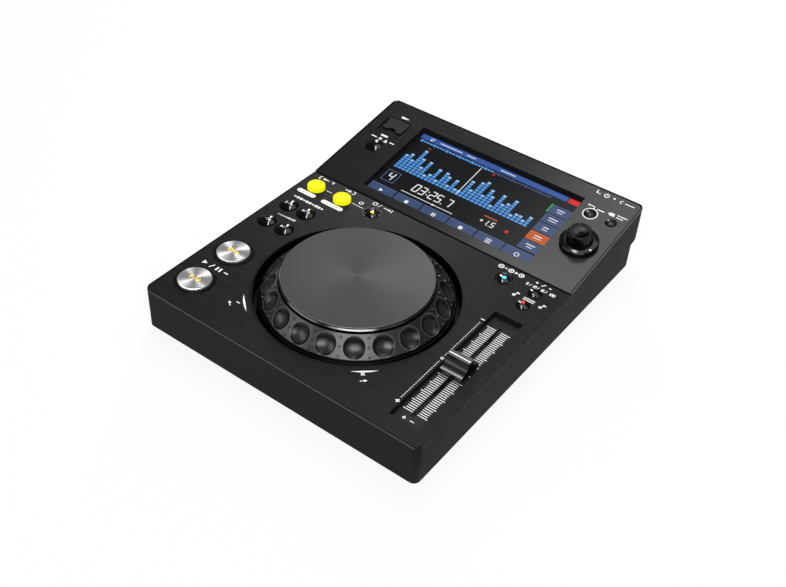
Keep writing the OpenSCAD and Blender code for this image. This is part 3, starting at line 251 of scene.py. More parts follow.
def new_group(name, inputs, outputs):
    """An empty group. Four numbers make a colour socket, three a vector, one a plain value."""
    group = bpy.data.node_groups.new(name, "ShaderNodeTree")
    for label, value in inputs.items():
        kind = "Float" if isinstance(value, float) else {3: "Vector", 4: "Color"}[len(value)]
        socket = group.interface.new_socket(label, in_out="INPUT", socket_type="NodeSocket" + kind)
        socket.default_value = value
    for label in outputs.split():
        kind = "Color" if label == "Color" else "Float"
        group.interface.new_socket(label, in_out="OUTPUT", socket_type="NodeSocket" + kind)
    return group, group.nodes.new("NodeGroupInput").outputs, group.nodes.new("NodeGroupOutput")


def give_out(end, **results):
    """Links each result to the output of that name, and returns the group."""
    for label, socket in results.items():
        end.id_data.links.new(socket, end.inputs[label])
    return end.id_data


print("half grey is linear", round(tone(128)[0], 3))


# %% Noise, swings and vectors
def stretched_noise(group, scales, detail):
    """Noise on the frame's own coordinates, with a count per metre along each axis."""
    place = node(group, "TexCoord").outputs["Object"]
    spread = node(group, "Mapping", {"Vector": place, "Scale": scales}).outputs[0]
    return node(group, "TexNoise", {"Vector": spread, "Scale": 1.0, "Detail": detail}).outputs["Fac"]


def swing(group, value, middle_value, amount):
    """middle_value, moved up and down by amount as value goes from 0 to 1."""
    moved = maths(group, "MULTIPLY", maths(group, "SUBTRACT", value, 0.5), amount)
    return maths(group, "ADD", moved, middle_value)


def vectors(group, operation, a, b=None):
    second = "Scale" if operation == "SCALE" else 1
    made = node(group, "VectorMath", {0: a} if b is None else {0: a, second: b}, operation=operation)
    return made.outputs["Value" if operation in ("DOT_PRODUCT", "LENGTH") else "Vector"]


def tinted(group, given, value, amount, middle_value=1.0):
    """The input Color, made lighter and darker as value goes from 0 to 1."""
    return vectors(group, "SCALE", given["Color"], swing(group, value, middle_value, amount))


def from_centre(group, given):
    """The way from the input Centre to the place that is shaded."""
    return vectors(group, "SUBTRACT", node(group, "TexCoord").outputs["Object"], given["Centre"])


# %% [markdown]
# Brushed metal has fine lines in one direction. Noise that is stretched along x gives them, a fine
# set for the lines themselves and a coarser one for the bands that the eye picks up. Moulded plastic
# has a small grain and slow clouds. Spun metal has circles round an axis, ink the grain of its
# screen, and a display its grid of dots.


# %% Hairline, moulded, spun, print and pixel groups
def make_hairline():
    group, given, end = new_group("hairline", {"Color": tone(40), "Depth": 0.2, "Roughness": 0.4},
                                  "Color Roughness Height")
    fine = stretched_noise(group, (20, 1300, 20), 1)
    coarse = stretched_noise(group, (8, 480, 8), 2)
    lines = maths(group, "ADD", maths(group, "MULTIPLY", fine, 0.45), maths(group, "MULTIPLY", coarse, 0.55))
    return give_out(end, Color=tinted(group, given, lines, given["Depth"]),
                    Roughness=swing(group, lines, given["Roughness"], 0.18), Height=lines)


def make_moulded():
    group, given, end = new_group("moulded", {"Color": tone(34), "Roughness": 0.5}, "Color Roughness Height")
    grain = stretched_noise(group, (3600, 3600, 3600), 2)
    cloud = stretched_noise(group, (35, 35, 35), 3)
    return give_out(end, Color=tinted(group, given, cloud, 0.16),
                    Roughness=swing(group, cloud, given["Roughness"], 0.12), Height=grain)


def make_spun():
    """Fine circles round an upright axis: Centre is where the axis stands, in metres."""
    group, given, end = new_group("spun", {"Color": tone(150), "Centre": (0, 0, 0), "Depth": 0.1,
                                           "Roughness": 0.35, "Grain": 0.0}, "Color Roughness Height")
    reach = vectors(group, "LENGTH", vectors(group, "MULTIPLY", from_centre(group, given), (1, 1, 0)))
    circles = node(group, "TexNoise", {"W": reach, "Scale": 2600, "Detail": 2}, noise_dimensions="1D")
    lines = circles.outputs["Fac"]
    speckle = stretched_noise(group, (1400, 1400, 1400), 1)
    circled = swing(group, lines, 1.0, given["Depth"])
    return give_out(end, Color=tinted(group, given, speckle, given["Grain"], circled),
                    Roughness=swing(group, lines, given["Roughness"], 0.1), Height=lines)


def make_print():
    """Screen-printed ink: even, with a faint grain of the mesh."""
    group, given, end = new_group("print_ink", {"Color": tone(235)}, "Color Roughness")
    grain = stretched_noise(group, (5000, 5000, 5000), 1)
    return give_out(end, Color=tinted(group, given, grain, 0.1, 0.97),
                    Roughness=swing(group, grain, 0.55, 0.2))


def make_pixels():
    """The grid of a liquid-crystal picture: each dot is a little dimmer at its edge."""
    group, given, end = new_group("pixels", {"Color": tone(200)}, "Color")
    place = node(group, "TexCoord").outputs["Object"]
    waves = [node(group, "TexWave", {"Vector": place, "Scale": 330}, bands_direction=axis) for axis in "XY"]
    dots = maths(group, "MULTIPLY", *(wave.outputs["Fac"] for wave in waves))
    return give_out(end, Color=tinted(group, given, dots, 0.16, 0.97))


GROUPS = {"hairline": make_hairline(), "moulded": make_moulded(), "spun": make_spun(), "print": make_print(),
          "pixels": make_pixels()}
print("effects:", sorted(GROUPS))

# %% [markdown]
# Two more groups give out only a mask, which says where on a piece a second finish lies: a zone
# round an axis, and a line along the edge of every dent in a ring of dents.


# %% Masks
def make_zone():
    """1 within a range of heights along an axis and of distances from it, 0 elsewhere."""
    group, given, end = new_group("zone", {"Centre": (0, 0, 0), "Axis": (0, 0, 1), "Low": -1.0, "High": 1.0,
                                           "Near": -1.0, "Far": 1.0, "Soft": 0.0001}, "Mask")
    away, axis = from_centre(group, given), given["Axis"]
    height = vectors(group, "DOT_PRODUCT", away, axis)
    along = vectors(group, "SCALE", axis, height)
    reach = vectors(group, "LENGTH", vectors(group, "SUBTRACT", away, along))
    mask = None
    for value, low, high in ((height, "Low", "High"), (reach, "Near", "Far")):
        for a, b in ((value, given[low]), (given[high], value)):
            inside = maths(group, "DIVIDE", maths(group, "SUBTRACT", a, b), given["Soft"])
            ramp = maths(group, "ADD", inside, 0.5)
            ramp.node.use_clamp = True
            mask = ramp if mask is None else maths(group, "MULTIPLY", mask, ramp)
    return give_out(end, Mask=mask)


def make_dent_edge():
    """A line of some Width round each of Count dents, at the distance Size from the dent's middle."""
    group, given, end = new_group("dent_edge", {"Centre": (0, 0, 0), "Count": 20.0, "Middle": 0.06, "Lean": 0.7,
                                                "Size": 0.008, "Width": 0.0005}, "Mask")

    def do(*terms):
        return maths(group, *terms)

    parts = node(group, "SeparateXYZ", {0: from_centre(group, given)})
    x, y = parts.outputs["X"], parts.outputs["Y"]

    def length(a, b):
        return do("SQRT", do("ADD", do("MULTIPLY", a, a), do("MULTIPLY", b, b)))

    reach = length(x, y)
    step = do("DIVIDE", 2 * math.pi, given["Count"])
    turn = do("DIVIDE", do("ARCTAN2", y, x), step)
    part = do("SUBTRACT", turn, do("ROUND", turn))
    across = do("MULTIPLY", do("MULTIPLY", part, step), reach)
    along = do("DIVIDE", do("SUBTRACT", reach, given["Middle"]), given["Lean"])
    off = do("ABSOLUTE", do("SUBTRACT", length(across, along), given["Size"]))
    line = do("SUBTRACT", 1.0, do("DIVIDE", off, given["Width"]))
    line.node.use_clamp = True
    return give_out(end, Mask=line)


MASKS = {"zone": make_zone(), "dent_edge": make_dent_edge()}
print("masks:", sorted(MASKS))

# %% [markdown]
# A finish is one material. It takes its colour, roughness and fine relief from a group, and its
# plain numbers, such as metal or not, are set on the shader's own sockets. The colour of a display
# is its own light.


# %% A function that makes a finish
RELIEF_SIZE = 0.1 * MM


def finish(name, group, values, relief=0.0, **sockets):
    """A material: values go to the group's inputs, sockets to the shader's own."""
    material = bpy.data.materials.new(name)
    material.use_nodes = True
    tree = material.node_tree
    bsdf = tree.nodes["Principled BSDF"]
    effect = node(tree, "Group", values, node_tree=GROUPS[group]).outputs
    lit = group == "pixels"
    tree.links.new(effect["Color"], bsdf.inputs["Emission Color" if lit else "Base Color"])
    if not lit:
        tree.links.new(effect["Roughness"], bsdf.inputs["Roughness"])
    if relief:
        bump = node(tree, "Bump", {"Height": effect["Height"], "Strength": relief, "Distance": RELIEF_SIZE})
        tree.links.new(bump.outputs[0], bsdf.inputs["Normal"])
    for label, value in sockets.items():
        bsdf.inputs[label.replace("_", " ")].default_value = value
    return material


def moulded(name, colour, rough, relief=0.0, shine=0.5, **sockets):
    """Plastic, rubber or a coating; shine is the strength of what it mirrors."""
    return finish(name, "moulded", {"Color": colour, "Roughness": rough}, relief, Specular_IOR_Level=shine,
                  **sockets)


def hairline(name, colour, depth, rough, relief=0.0, shine=0.5, **sockets):
    return finish(name, "hairline", {"Color": colour, "Depth": depth, "Roughness": rough}, relief,
                  Specular_IOR_Level=shine, **sockets)


def spun_metal(name, piece, grey, rough, depth, fan, grain=0.0, metal=1.0):
    """Metal turned round the middle of a piece; fan is how far its highlights spread into fans."""
    values = {"Color": tone(grey), "Centre": middle(piece) * MM, "Depth": depth, "Roughness": rough,
              "Grain": grain}
    material = finish(name, "spun", values, Metallic=metal, Anisotropic=fan)
    tree = material.node_tree
    tangent = node(tree, "Tangent", direction_type="RADIAL", axis="Z").outputs[0]
    tree.links.new(tangent, tree.nodes["Principled BSDF"].inputs["Tangent"])
    return material


# %% [markdown]
# One solid can carry two finishes: a spun top over a gloss side, a bright line turned into an edge.
# The next functions change some sockets of a finish where the mask of a group is 1.


# %% A second finish inside a zone
def mix_in(key, group, values, **sockets):
    """Mixes other socket values into a finish where the mask of a group is 1."""
    tree = FINISH[key].node_tree
    bsdf = tree.nodes["Principled BSDF"]
    mask = node(tree, "Group", values, node_tree=MASKS[group]).outputs["Mask"]
    for label, value in sockets.items():
        socket = bsdf.inputs[label.replace("_", " ")]
        old = socket.links[0].from_socket if socket.links else socket.default_value
        # A Mix node keeps its sockets for numbers and for colours side by side
        kind, before, after, out = ("RGBA", 6, 7, 2) if isinstance(value, tuple) else ("FLOAT", 2, 3, 0)
        mix = node(tree, "Mix", {0: mask, before: old, after: value}, data_type=kind)
        tree.links.new(mix.outputs[out], socket)


FAR_AWAY = 999


def where(key, centre, axis=(0, 0, 1), low=-FAR_AWAY, high=FAR_AWAY, near=-FAR_AWAY, far=FAR_AWAY, soft=0.1,
          **sockets):
    """Mixes socket values into a finish within a zone, whose lengths are in millimetres."""
    lengths = {"Low": low, "High": high, "Near": near, "Far": far, "Soft": soft}
    values = {"Centre": centre, "Axis": axis} | {label: length * MM for label, length in lengths.items()}
    mix_in(key, "zone", values, **sockets)


print("open zone in mm:", FAR_AWAY)

# %% [markdown]
# ## The finishes
# The deck is a black metal sheet with hairlines from left to right, the head a satin panel that
# mirrors a little more, the housing plain moulded plastic. Caps are gloss black. The greys were
# read from the photograph under its soft light.

# %% Materials of the housing and the small pieces
FINISH = {
    "case": moulded("case_plastic", tone(35), 0.5, 0.12, 0.03),
    "deck": hairline("deck_hairline", tone(31), 1.6, 0.42, 0.1, 0.06),
    "head": hairline("head_satin", tone(26), 0.3, 0.2, 0.02, 0.4),
    "well": moulded("well_black", tone(6), 0.4, 0.05, 0.12),
    "tray": moulded("tray_black", tone(15), 0.5, 0.1, 0.2),
    "ring": finish("ring_satin", "spun", {"Color": tone(22), "Centre": middle("jog_ring") * MM, "Depth": 0.08,
                                          "Roughness": 0.3}, 0.05, Specular_IOR_Level=0.8),
    "plate": spun_metal("jog_plate_spun", "jog_plate", 66, 0.48, 0.1, 0.3, 0.5),
    "play": spun_metal("play_cap_spun", "play_button", 232, 0.29, 0.1, 0.9, 0.0, 0.86),
    "cue": spun_metal("cue_cap_spun", "cue_button", 232, 0.29, 0.1, 0.9, 0.0, 0.86),
    "gloss": moulded("gloss_black", tone(6), 0.12, 0.0, 0.3),
    "selector": spun_metal("selector_spun", "selector_knob", 26, 0.1, 0.2, 0.85),
    "rim": moulded("rim_black", tone(6), 0.3, 0.05, 0.15),
    "satin": moulded("satin_black", tone(7), 0.3, 0.03, 0.25),
    "dish": moulded("dish_satin", tone(12), 0.24, 0.03, 0.4),
    "cap": moulded("fader_cap_gloss", tone(10), 0.26, 0.0, 1.0),
    "rubber": moulded("foot_rubber", tone(26), 0.85, 0.4),
    "steel": moulded("base_coating", tone(44), 0.6, 0.3),
    "screw": moulded("blackened_steel", tone(90), 0.4, 0.1, Metallic=1.0),
    "tin": hairline("tinned_sheet", tone(190), 0.15, 0.3, Metallic=1.0),
    "brass": hairline("brass", tone(205, 165, 90), 0.1, 0.3, Metallic=1.0),
    "board": moulded("solder_mask", tone(28, 92, 52), 0.4, 0.1),
    "laminate": moulded("bare_laminate", tone(178, 140, 84), 0.5, 0.1),
    "white": finish("white_lens", "print", {"Color": tone(238)}),
    "menu_ring": finish("menu_ring", "print", {"Color": tone(238)}),
    "yellow": finish("lit_yellow", "print", {"Color": tone(110, 108, 4)}, Emission_Color=tone(248, 246, 14),
                     Emission_Strength=0.85, Specular_IOR_Level=0.1),
    # The white and yellow inks carry a weak emission, a painted glow that makes the print brighter than its
    # light.
    "ink": finish("white_ink", "print", {"Color": tone(240)}, Emission_Color=(1, 1, 1, 1),
                  Emission_Strength=0.18),
    "yellow_ink": finish("yellow_ink", "print", {"Color": tone(240, 200, 6)}, Emission_Color=tone(255, 205, 0),
                         Emission_Strength=0.45),
    "glass": moulded("display_glass", tone(14), 0.06, Coat_Weight=0.3),
    "lid": moulded("lid_satin", tone(18), 0.34, 0.05, 0.25),
}
print("finishes:", len(FINISH))

# %% Dressing the solids
PLACES = {
    "case": "main_case rear_panel usb_well power_inlet power_switch",
    "deck": "deck_panel", "head": "head_panel", "well": "jog_well", "tray": "fader_tray",
    "ring": "jog_ring", "plate": "jog_plate", "play": "play_button", "cue": "cue_button",
    "gloss": "reloop_button track_back_button track_forward_button search_back_button search_forward_button "
             "vinyl_button tempo_range_button master_tempo_button stop_button power_button",
    "satin": "back_button tag_button",
    "selector": "selector_knob", "rim": "transport_rims tact_switches jog_sensor",
    "dish": "dished_rings", "cap": "fader_cap", "rubber": "feet", "steel": "base_plate",
    "screw": "case_screws lid_pin jog_shaft selector_shaft fader_lever encoder_disc",
    "tin": "display_module fader_housing network_socket data_socket usb_socket selector_encoder audio_jacks",
    "brass": "jog_bearing", "board": "main_board key_board_left key_board_right head_boards",
    "laminate": "power_supply", "white": "light_lenses selector_rotor", "menu_ring": "back_ring",
    "yellow": "loop_in_button loop_out_button", "glass": "display_glass", "lid": "usb_lid",
}
for key, names in PLACES.items():
    for name in names.split():
        NODES[name].data.materials.clear()
        NODES[name].data.materials.append(FINISH[key])
print("solids dressed:", sum(len(n.split()) for n in PLACES.values()))

# %% [markdown]
# Now the zones. The jog plate sits on a gloss black foot with one bright turned slope, and its upper
# edge has a fine painted highlight line. Inside its slope and at its foot the jog ring is painted
# black as painted shade, and each dent has a painted highlight line along its edge and a painted
# shade shoulder within. The selector has a spun face on a gloss body, and the return button's ring
# is white on its outside only. The front edge of the housing and the right edges of deck and head
# have a painted highlight line, while the left and rear edges are painted black as painted shade.

# %% Zones of the jog wheel and the knobs
JOG = middle("jog_plate")
JOG_AXIS = Vector((JOG.x, JOG.y, 0)) * MM
PLATE_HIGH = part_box("jog_plate")[1].z / MM
SLOPE_LOW, SLOPE_HIGH, EDGE_LOW = (PLATE_HIGH - drop for drop in (2.25, 1.3, 0.35))
SLOPE_IN, EDGE_IN = 55.4, 55.25
where("plate", JOG_AXIS, low=0, high=SLOPE_HIGH, Base_Color=tone(5), Metallic=0.0, Roughness=0.15,
      Specular_IOR_Level=0.2)
where("plate", JOG_AXIS, low=SLOPE_LOW, high=SLOPE_HIGH, near=SLOPE_IN, Base_Color=tone(88), Metallic=1.0,
      Roughness=0.14)
# Painted highlight: a bright line on the plate's upper outer edge, in place of light on its bevel.
where("plate", JOG_AXIS, low=EDGE_LOW, near=EDGE_IN, soft=0.05, Base_Color=tone(120), Metallic=1.0)

# Lean is the cosine of the slope that the dents lie on
DENTS = {"Centre": JOG_AXIS, "Count": 20, "Middle": 63.8 * MM, "Lean": 0.674}
# Painted shade darkens a band inside each dent, and a painted highlight draws a light line along its edge.
mix_in("ring", "dent_edge", DENTS | {"Size": 6.7 * MM, "Width": 1.9 * MM}, Base_Color=tone(4),
       Specular_IOR_Level=0.3)
mix_in("ring", "dent_edge", DENTS | {"Size": 8.15 * MM, "Width": 0.5 * MM}, Base_Color=tone(86))
RING_IN, RING_OUT = 57.5, 69.35
# Painted shade: the ring is painted black, with almost no reflection, beyond its dents and next to the plate.
where("ring", JOG_AXIS, near=RING_OUT, soft=0.2, Base_Color=tone(3), Specular_IOR_Level=0.05)
where("ring", JOG_AXIS, far=RING_IN, Base_Color=tone(3), Specular_IOR_Level=0.05)

HEAD_UP = (0, -math.sin(HEAD_TILT), math.cos(HEAD_TILT))
SELECTOR_AT, SELECTOR_SIDE = (98.975, 47.8), 12.9
RETURN_AT, RETURN_IN = (90.06, 79.8), 5.35
where("selector", on_head(*SELECTOR_AT), HEAD_UP, high=SELECTOR_SIDE, soft=0.2, Base_Color=tone(7),
      Metallic=0.0, Roughness=0.14, Anisotropic=0.0, Specular_IOR_Level=0.25)
where("menu_ring", on_head(*RETURN_AT), HEAD_UP, far=RETURN_IN, Base_Color=tone(5), Roughness=0.2)
print("plate top at", round(PLATE_HIGH, 2))

# %% Edges of the housing
CASE_FRONT, CASE_SIDE, CASE_TOP = -150, 121, 38.5
HEAD_LENGTH = 110.7
HEAD_ALONG = (0, math.cos(HEAD_TILT), math.sin(HEAD_TILT))
ACROSS, ALONG = (1, 0, 0), (0, 1, 0)
DECK_LEFT = Vector((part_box("deck_panel")[0].x, 0, DECK_TOP * MM))
PAINTED_SHADE = {"Base_Color": tone(3), "Specular_IOR_Level": 0.0}
EDGE_SOFT = 0.3
# Painted highlight lines along the housing's front edge and its right edges by deck and head; painted shade,
# deep black, along the head's left and rear edges and the deck's left edge.
for key, centre, axis, limits, sockets in (
        ("case", Vector((0, CASE_FRONT, CASE_TOP)) * MM, ACROSS, {"far": 0.5}, {"Base_Color": tone(100)}),
        ("case", Vector((CASE_SIDE, 0, CASE_TOP)) * MM, ALONG, {"high": HEAD_FRONT, "far": 0.6},
         {"Base_Color": tone(66)}),
        ("case", on_head(CASE_SIDE, 0), HEAD_ALONG, {"low": 0, "far": 0.7}, {"Base_Color": tone(96)}),
        ("case", on_head(-CASE_SIDE, 0), HEAD_ALONG, {"low": 0, "far": 1.7}, PAINTED_SHADE),
        ("case", on_head(0, HEAD_LENGTH), ACROSS, {"far": 2.2}, PAINTED_SHADE),
        ("deck", DECK_LEFT, ALONG, {"far": 1.1}, PAINTED_SHADE | {"Base_Color": tone(4)})):
    where(key, centre, axis, soft=EDGE_SOFT, **limits, **sockets)
print("case nodes:", len(FINISH["case"].node_tree.nodes))

# %% [markdown]
# ## Soft edges
# A moulded edge is never a knife: it catches a thin line of light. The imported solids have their
# faces apart, so a Weld modifier joins them first and a Bevel modifier then rounds every edge that
# is sharper than a set angle. Modifiers leave the CAD mesh itself as it is.


# %% Bevels
SAME_POINT = 0.002 * MM
SHARP = math.radians(40)


def soften(name, width):
    piece = NODES[name]
    weld = piece.modifiers.new("join", "WELD")
    weld.merge_threshold = SAME_POINT
    bevel = piece.modifiers.new("soft_edge", "BEVEL")
    bevel.width, bevel.segments = width * MM, 2
    bevel.limit_method, bevel.angle_limit = "ANGLE", SHARP
    bevel.harden_normals = True


for name, width in (("main_case", 0.5), ("usb_lid", 0.25)):
    soften(name, width)
print("softened:", [o.name for o in NODES.values() if o.modifiers])

# %% [markdown]
# ## Drawing with flat shapes
# Print is drawn from a few flat shapes: bars, discs, arcs, triangles and rounded boxes. Each is a
# list of points in the plane. One function lifts a list of shapes off the plane as very thin closed
# slabs, sunk a little into the surface so that none of them floats.

# %% Flat shapes


def box2(x, y, w, h):
    return [(x - w / 2, y - h / 2), (x + w / 2, y - h / 2), (x + w / 2, y + h / 2), (x - w / 2, y + h / 2)]


def rule(x0, x1, y, w):
    return box2((x0 + x1) / 2, y, x1 - x0, w)


def plus(x, y, size, w):
    return [box2(x, y, size, w), box2(x, y, w, size)]


def stroke(x0, y0, x1, y1, w):
    dx, dy = x1 - x0, y1 - y0
    size = math.hypot(dx, dy)
    nx, ny = -dy / size * w / 2, dx / size * w / 2
    return [(x0 - nx, y0 - ny), (x1 - nx, y1 - ny), (x1 + nx, y1 + ny), (x0 + nx, y0 + ny)]


print("corners of a stroke:", len(stroke(0, 0, 1, 0, 1)))


# %% Round shapes
def on_circle(x, y, r, degrees):
    turn = math.radians(degrees)
    return x + r * math.cos(turn), y + r * math.sin(turn)


def disc(x, y, r, n=24):
    return [on_circle(x, y, r, 360 * i / n) for i in range(n)]


def arc(x, y, r, w, start, end, n=16, taper=False):
    """A piece of a ring; with taper it runs out to points at both ends."""
    turns = [start + (end - start) * i / n for i in range(n + 1)]
    halves = [w / 2 * (max(0.12, math.sin(math.pi * i / n)) if taper else 1) for i in range(n + 1)]
    outer = [on_circle(x, y, r + half, turn) for turn, half in zip(turns, halves)]
    inner = [on_circle(x, y, r - half, turn) for turn, half in zip(turns, halves)]
    return outer + inner[::-1]


def ring2(x, y, r, w):
    return [arc(x, y, r, w, 0, 180), arc(x, y, r, w, 180, 360)]


def arrow(x, y, size, turn=0.0):
    """A triangle round x, y; turn is the way that it points, in degrees from the right."""
    return [on_circle(x, y, size, turn + a) for a in (0, 125, 235)]


def pill(x, y, w, h):
    r = h / 2
    right = [on_circle(x + w / 2 - r, y, r, a) for a in range(-90, 91, 15)]
    return right + [on_circle(x - w / 2 + r, y, r, a) for a in range(90, 271, 15)]


print("corners of a disc:", len(disc(0, 0, 1)))

# %% [markdown]
# Numbers are drawn from seven strokes, as on a lit counter. A table says which ones make a numeral.

# %% Numerals
SEGMENTS = {"0": "abcdef", "1": "bc", "2": "abged", "3": "abgcd", "4": "fgbc", "5": "afgcd", "6": "afgedc",
            "7": "abc", "8": "abcdefg", "9": "abcdfg", "+": "g", "-": "g"}
ENDS = {"a": (-1, 1, 1, 1), "b": (1, 1, 1, 0), "c": (1, 0, 1, -1), "d": (-1, -1, 1, -1),
        "e": (-1, 0, -1, -1), "f": (-1, 1, -1, 0), "g": (-1, 0, 1, 0)}
POINTS = {".": (-0.5,), ":": (-0.22, 0.22)}
LEAN = 0.12


def digits(text, x, y, h, w):
    """Plain seven-stroke numerals, with points, colons and signs; x, y is the middle of the row."""
    wide, gap = h * 0.5, h * 0.26
    sizes = [wide if c in SEGMENTS else h * 0.1 for c in text]
    left = x - (sum(sizes) + gap * (len(text) - 1)) / 2
    shapes = []
    for c, size in zip(text, sizes):
        m = left + size / 2
        for key in SEGMENTS.get(c, ""):
            a, b, d, e = ENDS[key]
            shapes.append(stroke(m + a * wide / 2 + b * LEAN * h / 2, y + b * h / 2,
                                 m + d * wide / 2 + e * LEAN * h / 2, y + e * h / 2, w))
        if c == "+":
            shapes.append(stroke(m, y - wide / 2, m, y + wide / 2, w))
        for share in POINTS.get(c, ()):
            shapes.append(box2(m + share * LEAN * h, y + share * h, w * 1.1, w * 1.1))
        left += size + gap
    return shapes


print("strokes of an 8:", len(digits("8", 0, 0, 1, 0.1)))

# %% [markdown]
# The thin slabs of one print job are one mesh, as one pass of the printing screen would lay them.


# %% Lifting shapes off a plane
def add_piece(name, build, material, body, smooth=False):
    """Turns a finished bmesh into a piece that rides on a body."""
    mesh = bpy.data.meshes.new(name)
    build.to_mesh(mesh)
    build.free()
    if smooth:
        mesh.shade_smooth()
    mesh.materials.append(FINISH[material] if isinstance(material, str) else material)
    piece = bpy.data.objects.new(name, mesh)
    scene.collection.objects.link(piece)
    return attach(piece, body)


def slabs(name, shapes, place, material, body="chassis", up=0.0, thick=0.05, sunk=0.04):
    build = bmesh.new()
    for shape in shapes:
        area = sum(a[0] * b[1] - b[0] * a[1] for a, b in zip(shape, shape[1:] + shape[:1]))
        outline = shape if area > 0 else shape[::-1]
        low = [build.verts.new(place(x, y, up - sunk)) for x, y in outline]
        high = [build.verts.new(place(x, y, up + thick)) for x, y in outline]
        build.faces.new(high)
        build.faces.new(low[::-1])
        for i in range(len(outline)):
            j = (i + 1) % len(outline)
            build.faces.new((low[i], low[j], high[j], high[i]))
    return add_piece(name, build, material, body)


def turned(name, profile, place, material, body="chassis", n=40):
    """A ring turned from a closed profile, which is a list of radius and height."""
    build = bmesh.new()
    rows = [[build.verts.new(place(*on_circle(0, 0, r, 360 * i / n), z)) for i in range(n)] for r, z in profile]
    for a, b in zip(rows, rows[1:]):
        for i in range(n):
            j = (i + 1) % n
            build.faces.new((a[i], a[j], b[j], b[i]))
    bmesh.ops.recalc_face_normals(build, faces=build.faces)
    return add_piece(name, build, material, body, smooth=True)


print("pieces so far:", len(NODES))

# %% [markdown]
# ## Print on the deck
# Short rules, pictograms and plain numbers stand beside the buttons: brackets for the two ends of a
# loop, skip and search arrows, a disc, a note. Around the jog wheel two tapered arcs show its two
# directions. An image could hold all this, but shapes stay sharp and need no file.

# %% Deck print, left side
LOOP_ROW, WHITE_ROW, START_ROW = 36.1, 12.2, -102


def bracket(x, y, way):
    """A square bracket that opens to the right (way 1) or to the left (way -1)."""
    tip = x + 1.6 * way
    return [stroke(x, y - 1.7, x, y + 1.7, 0.7)] + [stroke(x, y + d, tip, y + d, 0.7) for d in (1.7, -1.7)]


def left_print():
    ink = []
    # Brackets and arrows over the loop buttons
    ink += bracket(-112, LOOP_ROW, 1) + [arrow(-107.2, LOOP_ROW, 1.9, 180), rule(-106.5, -102.6, LOOP_ROW, 0.8)]
    ink += bracket(-76.2, LOOP_ROW, -1) + [arrow(-81, LOOP_ROW, 1.9), rule(-85.6, -81.7, LOOP_ROW, 0.8)]
    ink += digits("4", -98.6, LOOP_ROW, 3, 0.55)
    # Rules that join the loop group
    ink += [rule(-96.3, -90.7, 24.9, 0.5), rule(-70.3, -59.2, 24.9, 0.5)]
    # A turning arrow for the loop, and one that leaves it
    for x, y, r in ((-64.6, 29.5, 1.6), (-55.5, LOOP_ROW, 1.8)):
        ink += [arc(x, y, r, 0.6, 60, 380), arrow(*on_circle(x, y, r, 30), 1.1, 300)]
    ink += [stroke(-51.6, 34.2, -50, 38, 0.5), rule(-47, -42.4, LOOP_ROW, 0.7), arrow(-41.6, LOOP_ROW, 1.5),
            stroke(-39.2, 34.2, -39.2, 38, 0.6)]
    # White plates under the loop buttons
    ink += [pill(-106.6, WHITE_ROW, 18, 4.4), pill(-80.5, WHITE_ROW, 21, 4.4)]
    # A row of blocks for whole tracks, a row of growing bars for the search inside one
    ink += [box2(-110.4 + 3.0 * i, 3.3, 2.2, 2.5 if i % 3 else 1.2) for i in range(10)]
    ink += [stroke(-105.4 + 1.9 * i, -23.2, -104.9 + 1.9 * i, -22.6 + 0.24 * i, 0.9) for i in range(9)]
    # Start and pause
    ink += [arrow(-107.6, START_ROW, 2.5), stroke(-101.6, -104.2, -99.4, -99.8, 0.8),
            rule(-88.6, -84.8, START_ROW, 0.9)] + [box2(x, START_ROW, 1.4, 4) for x in (-95.4, -92.2)]
    return ink


LEFT_INK = left_print()
print("left side:", len(LEFT_INK), "shapes")

# %% Deck print, right side and around the wheel
DISC_ROW, RANGE_ROW, NOTE_ROW = 35.3, 30.7, 13.6
JOG_ARC = 81.3
SCALE_X = 85.7


def right_print():
    ink = []
    # Discs for the turntable feel
    for x in (63.8, 72.6, 81.4):
        ink += ring2(x, DISC_ROW, 1.9, 0.75) + [disc(x, DISC_ROW, 0.7)]
    ink += [rule(67, 69.4, DISC_ROW, 0.8), arrow(77, DISC_ROW, 1.7)]
    # Signs and numbers of the fader's ranges
    ink += digits("+", 94.6, 35.9, 4.2, 0.8) + digits("-", 105.8, 35.9, 4.2, 0.8)
    ink += [stroke(99, 34.2, 101.4, 37.6, 0.7)]
    for text, x in (("6", 89.6), ("10", 95.2), ("16", 101.8), ("100", 110)):
        ink += digits(text, x, RANGE_ROW, 2.5, 0.5)
    ink += [stroke(x - 0.5, 29.4, x + 0.5, 32, 0.45) for x in (92.2, 98.5, 105.2)]
    # Two like notes for the kept key
    for x in (88.2, 110.4):
        stem = x + 1.0
        ink += [disc(x, NOTE_ROW, 1.25, 16), stroke(stem, NOTE_ROW, stem, 17.6, 0.6),
                stroke(stem, 17.4, x + 3.2, 16.5, 0.9)]
    ink += [rule(95.6, 104.8, y, 0.8) for y in (16, 14)]
    # Arcs, signs and arrows of the jog wheel's two directions
    ink += [arc(JOG.x, JOG.y, JOG_ARC, 1.5, start, start + 13, 20, True) for start in (222, 305)]
    ink += [rule(-59.8, -56.8, -119.6, 0.8)] + plus(53.6, -119.9, 3.6, 0.8)
    ink += [arrow(-63.2, -123, 1.5, 135), stroke(-62.7, -123.5, -60.6, -125.6, 0.6)]
    ink += [arrow(58.6, -123.6, 1.5, 45), stroke(58.1, -124.1, 56, -126.2, 0.6)]
    # The dotted scale beside the fader
    ink += [disc(SCALE_X, first - i * 2.02, 0.45, 10) for first in (-27.5, -77.8) for i in range(22)]
    ink += ring2(SCALE_X, -73.9, 0.95, 0.5) + [box2(SCALE_X, -23.5, 3, 0.8)] + plus(SCALE_X, -124.5, 3.2, 0.9)
    return ink


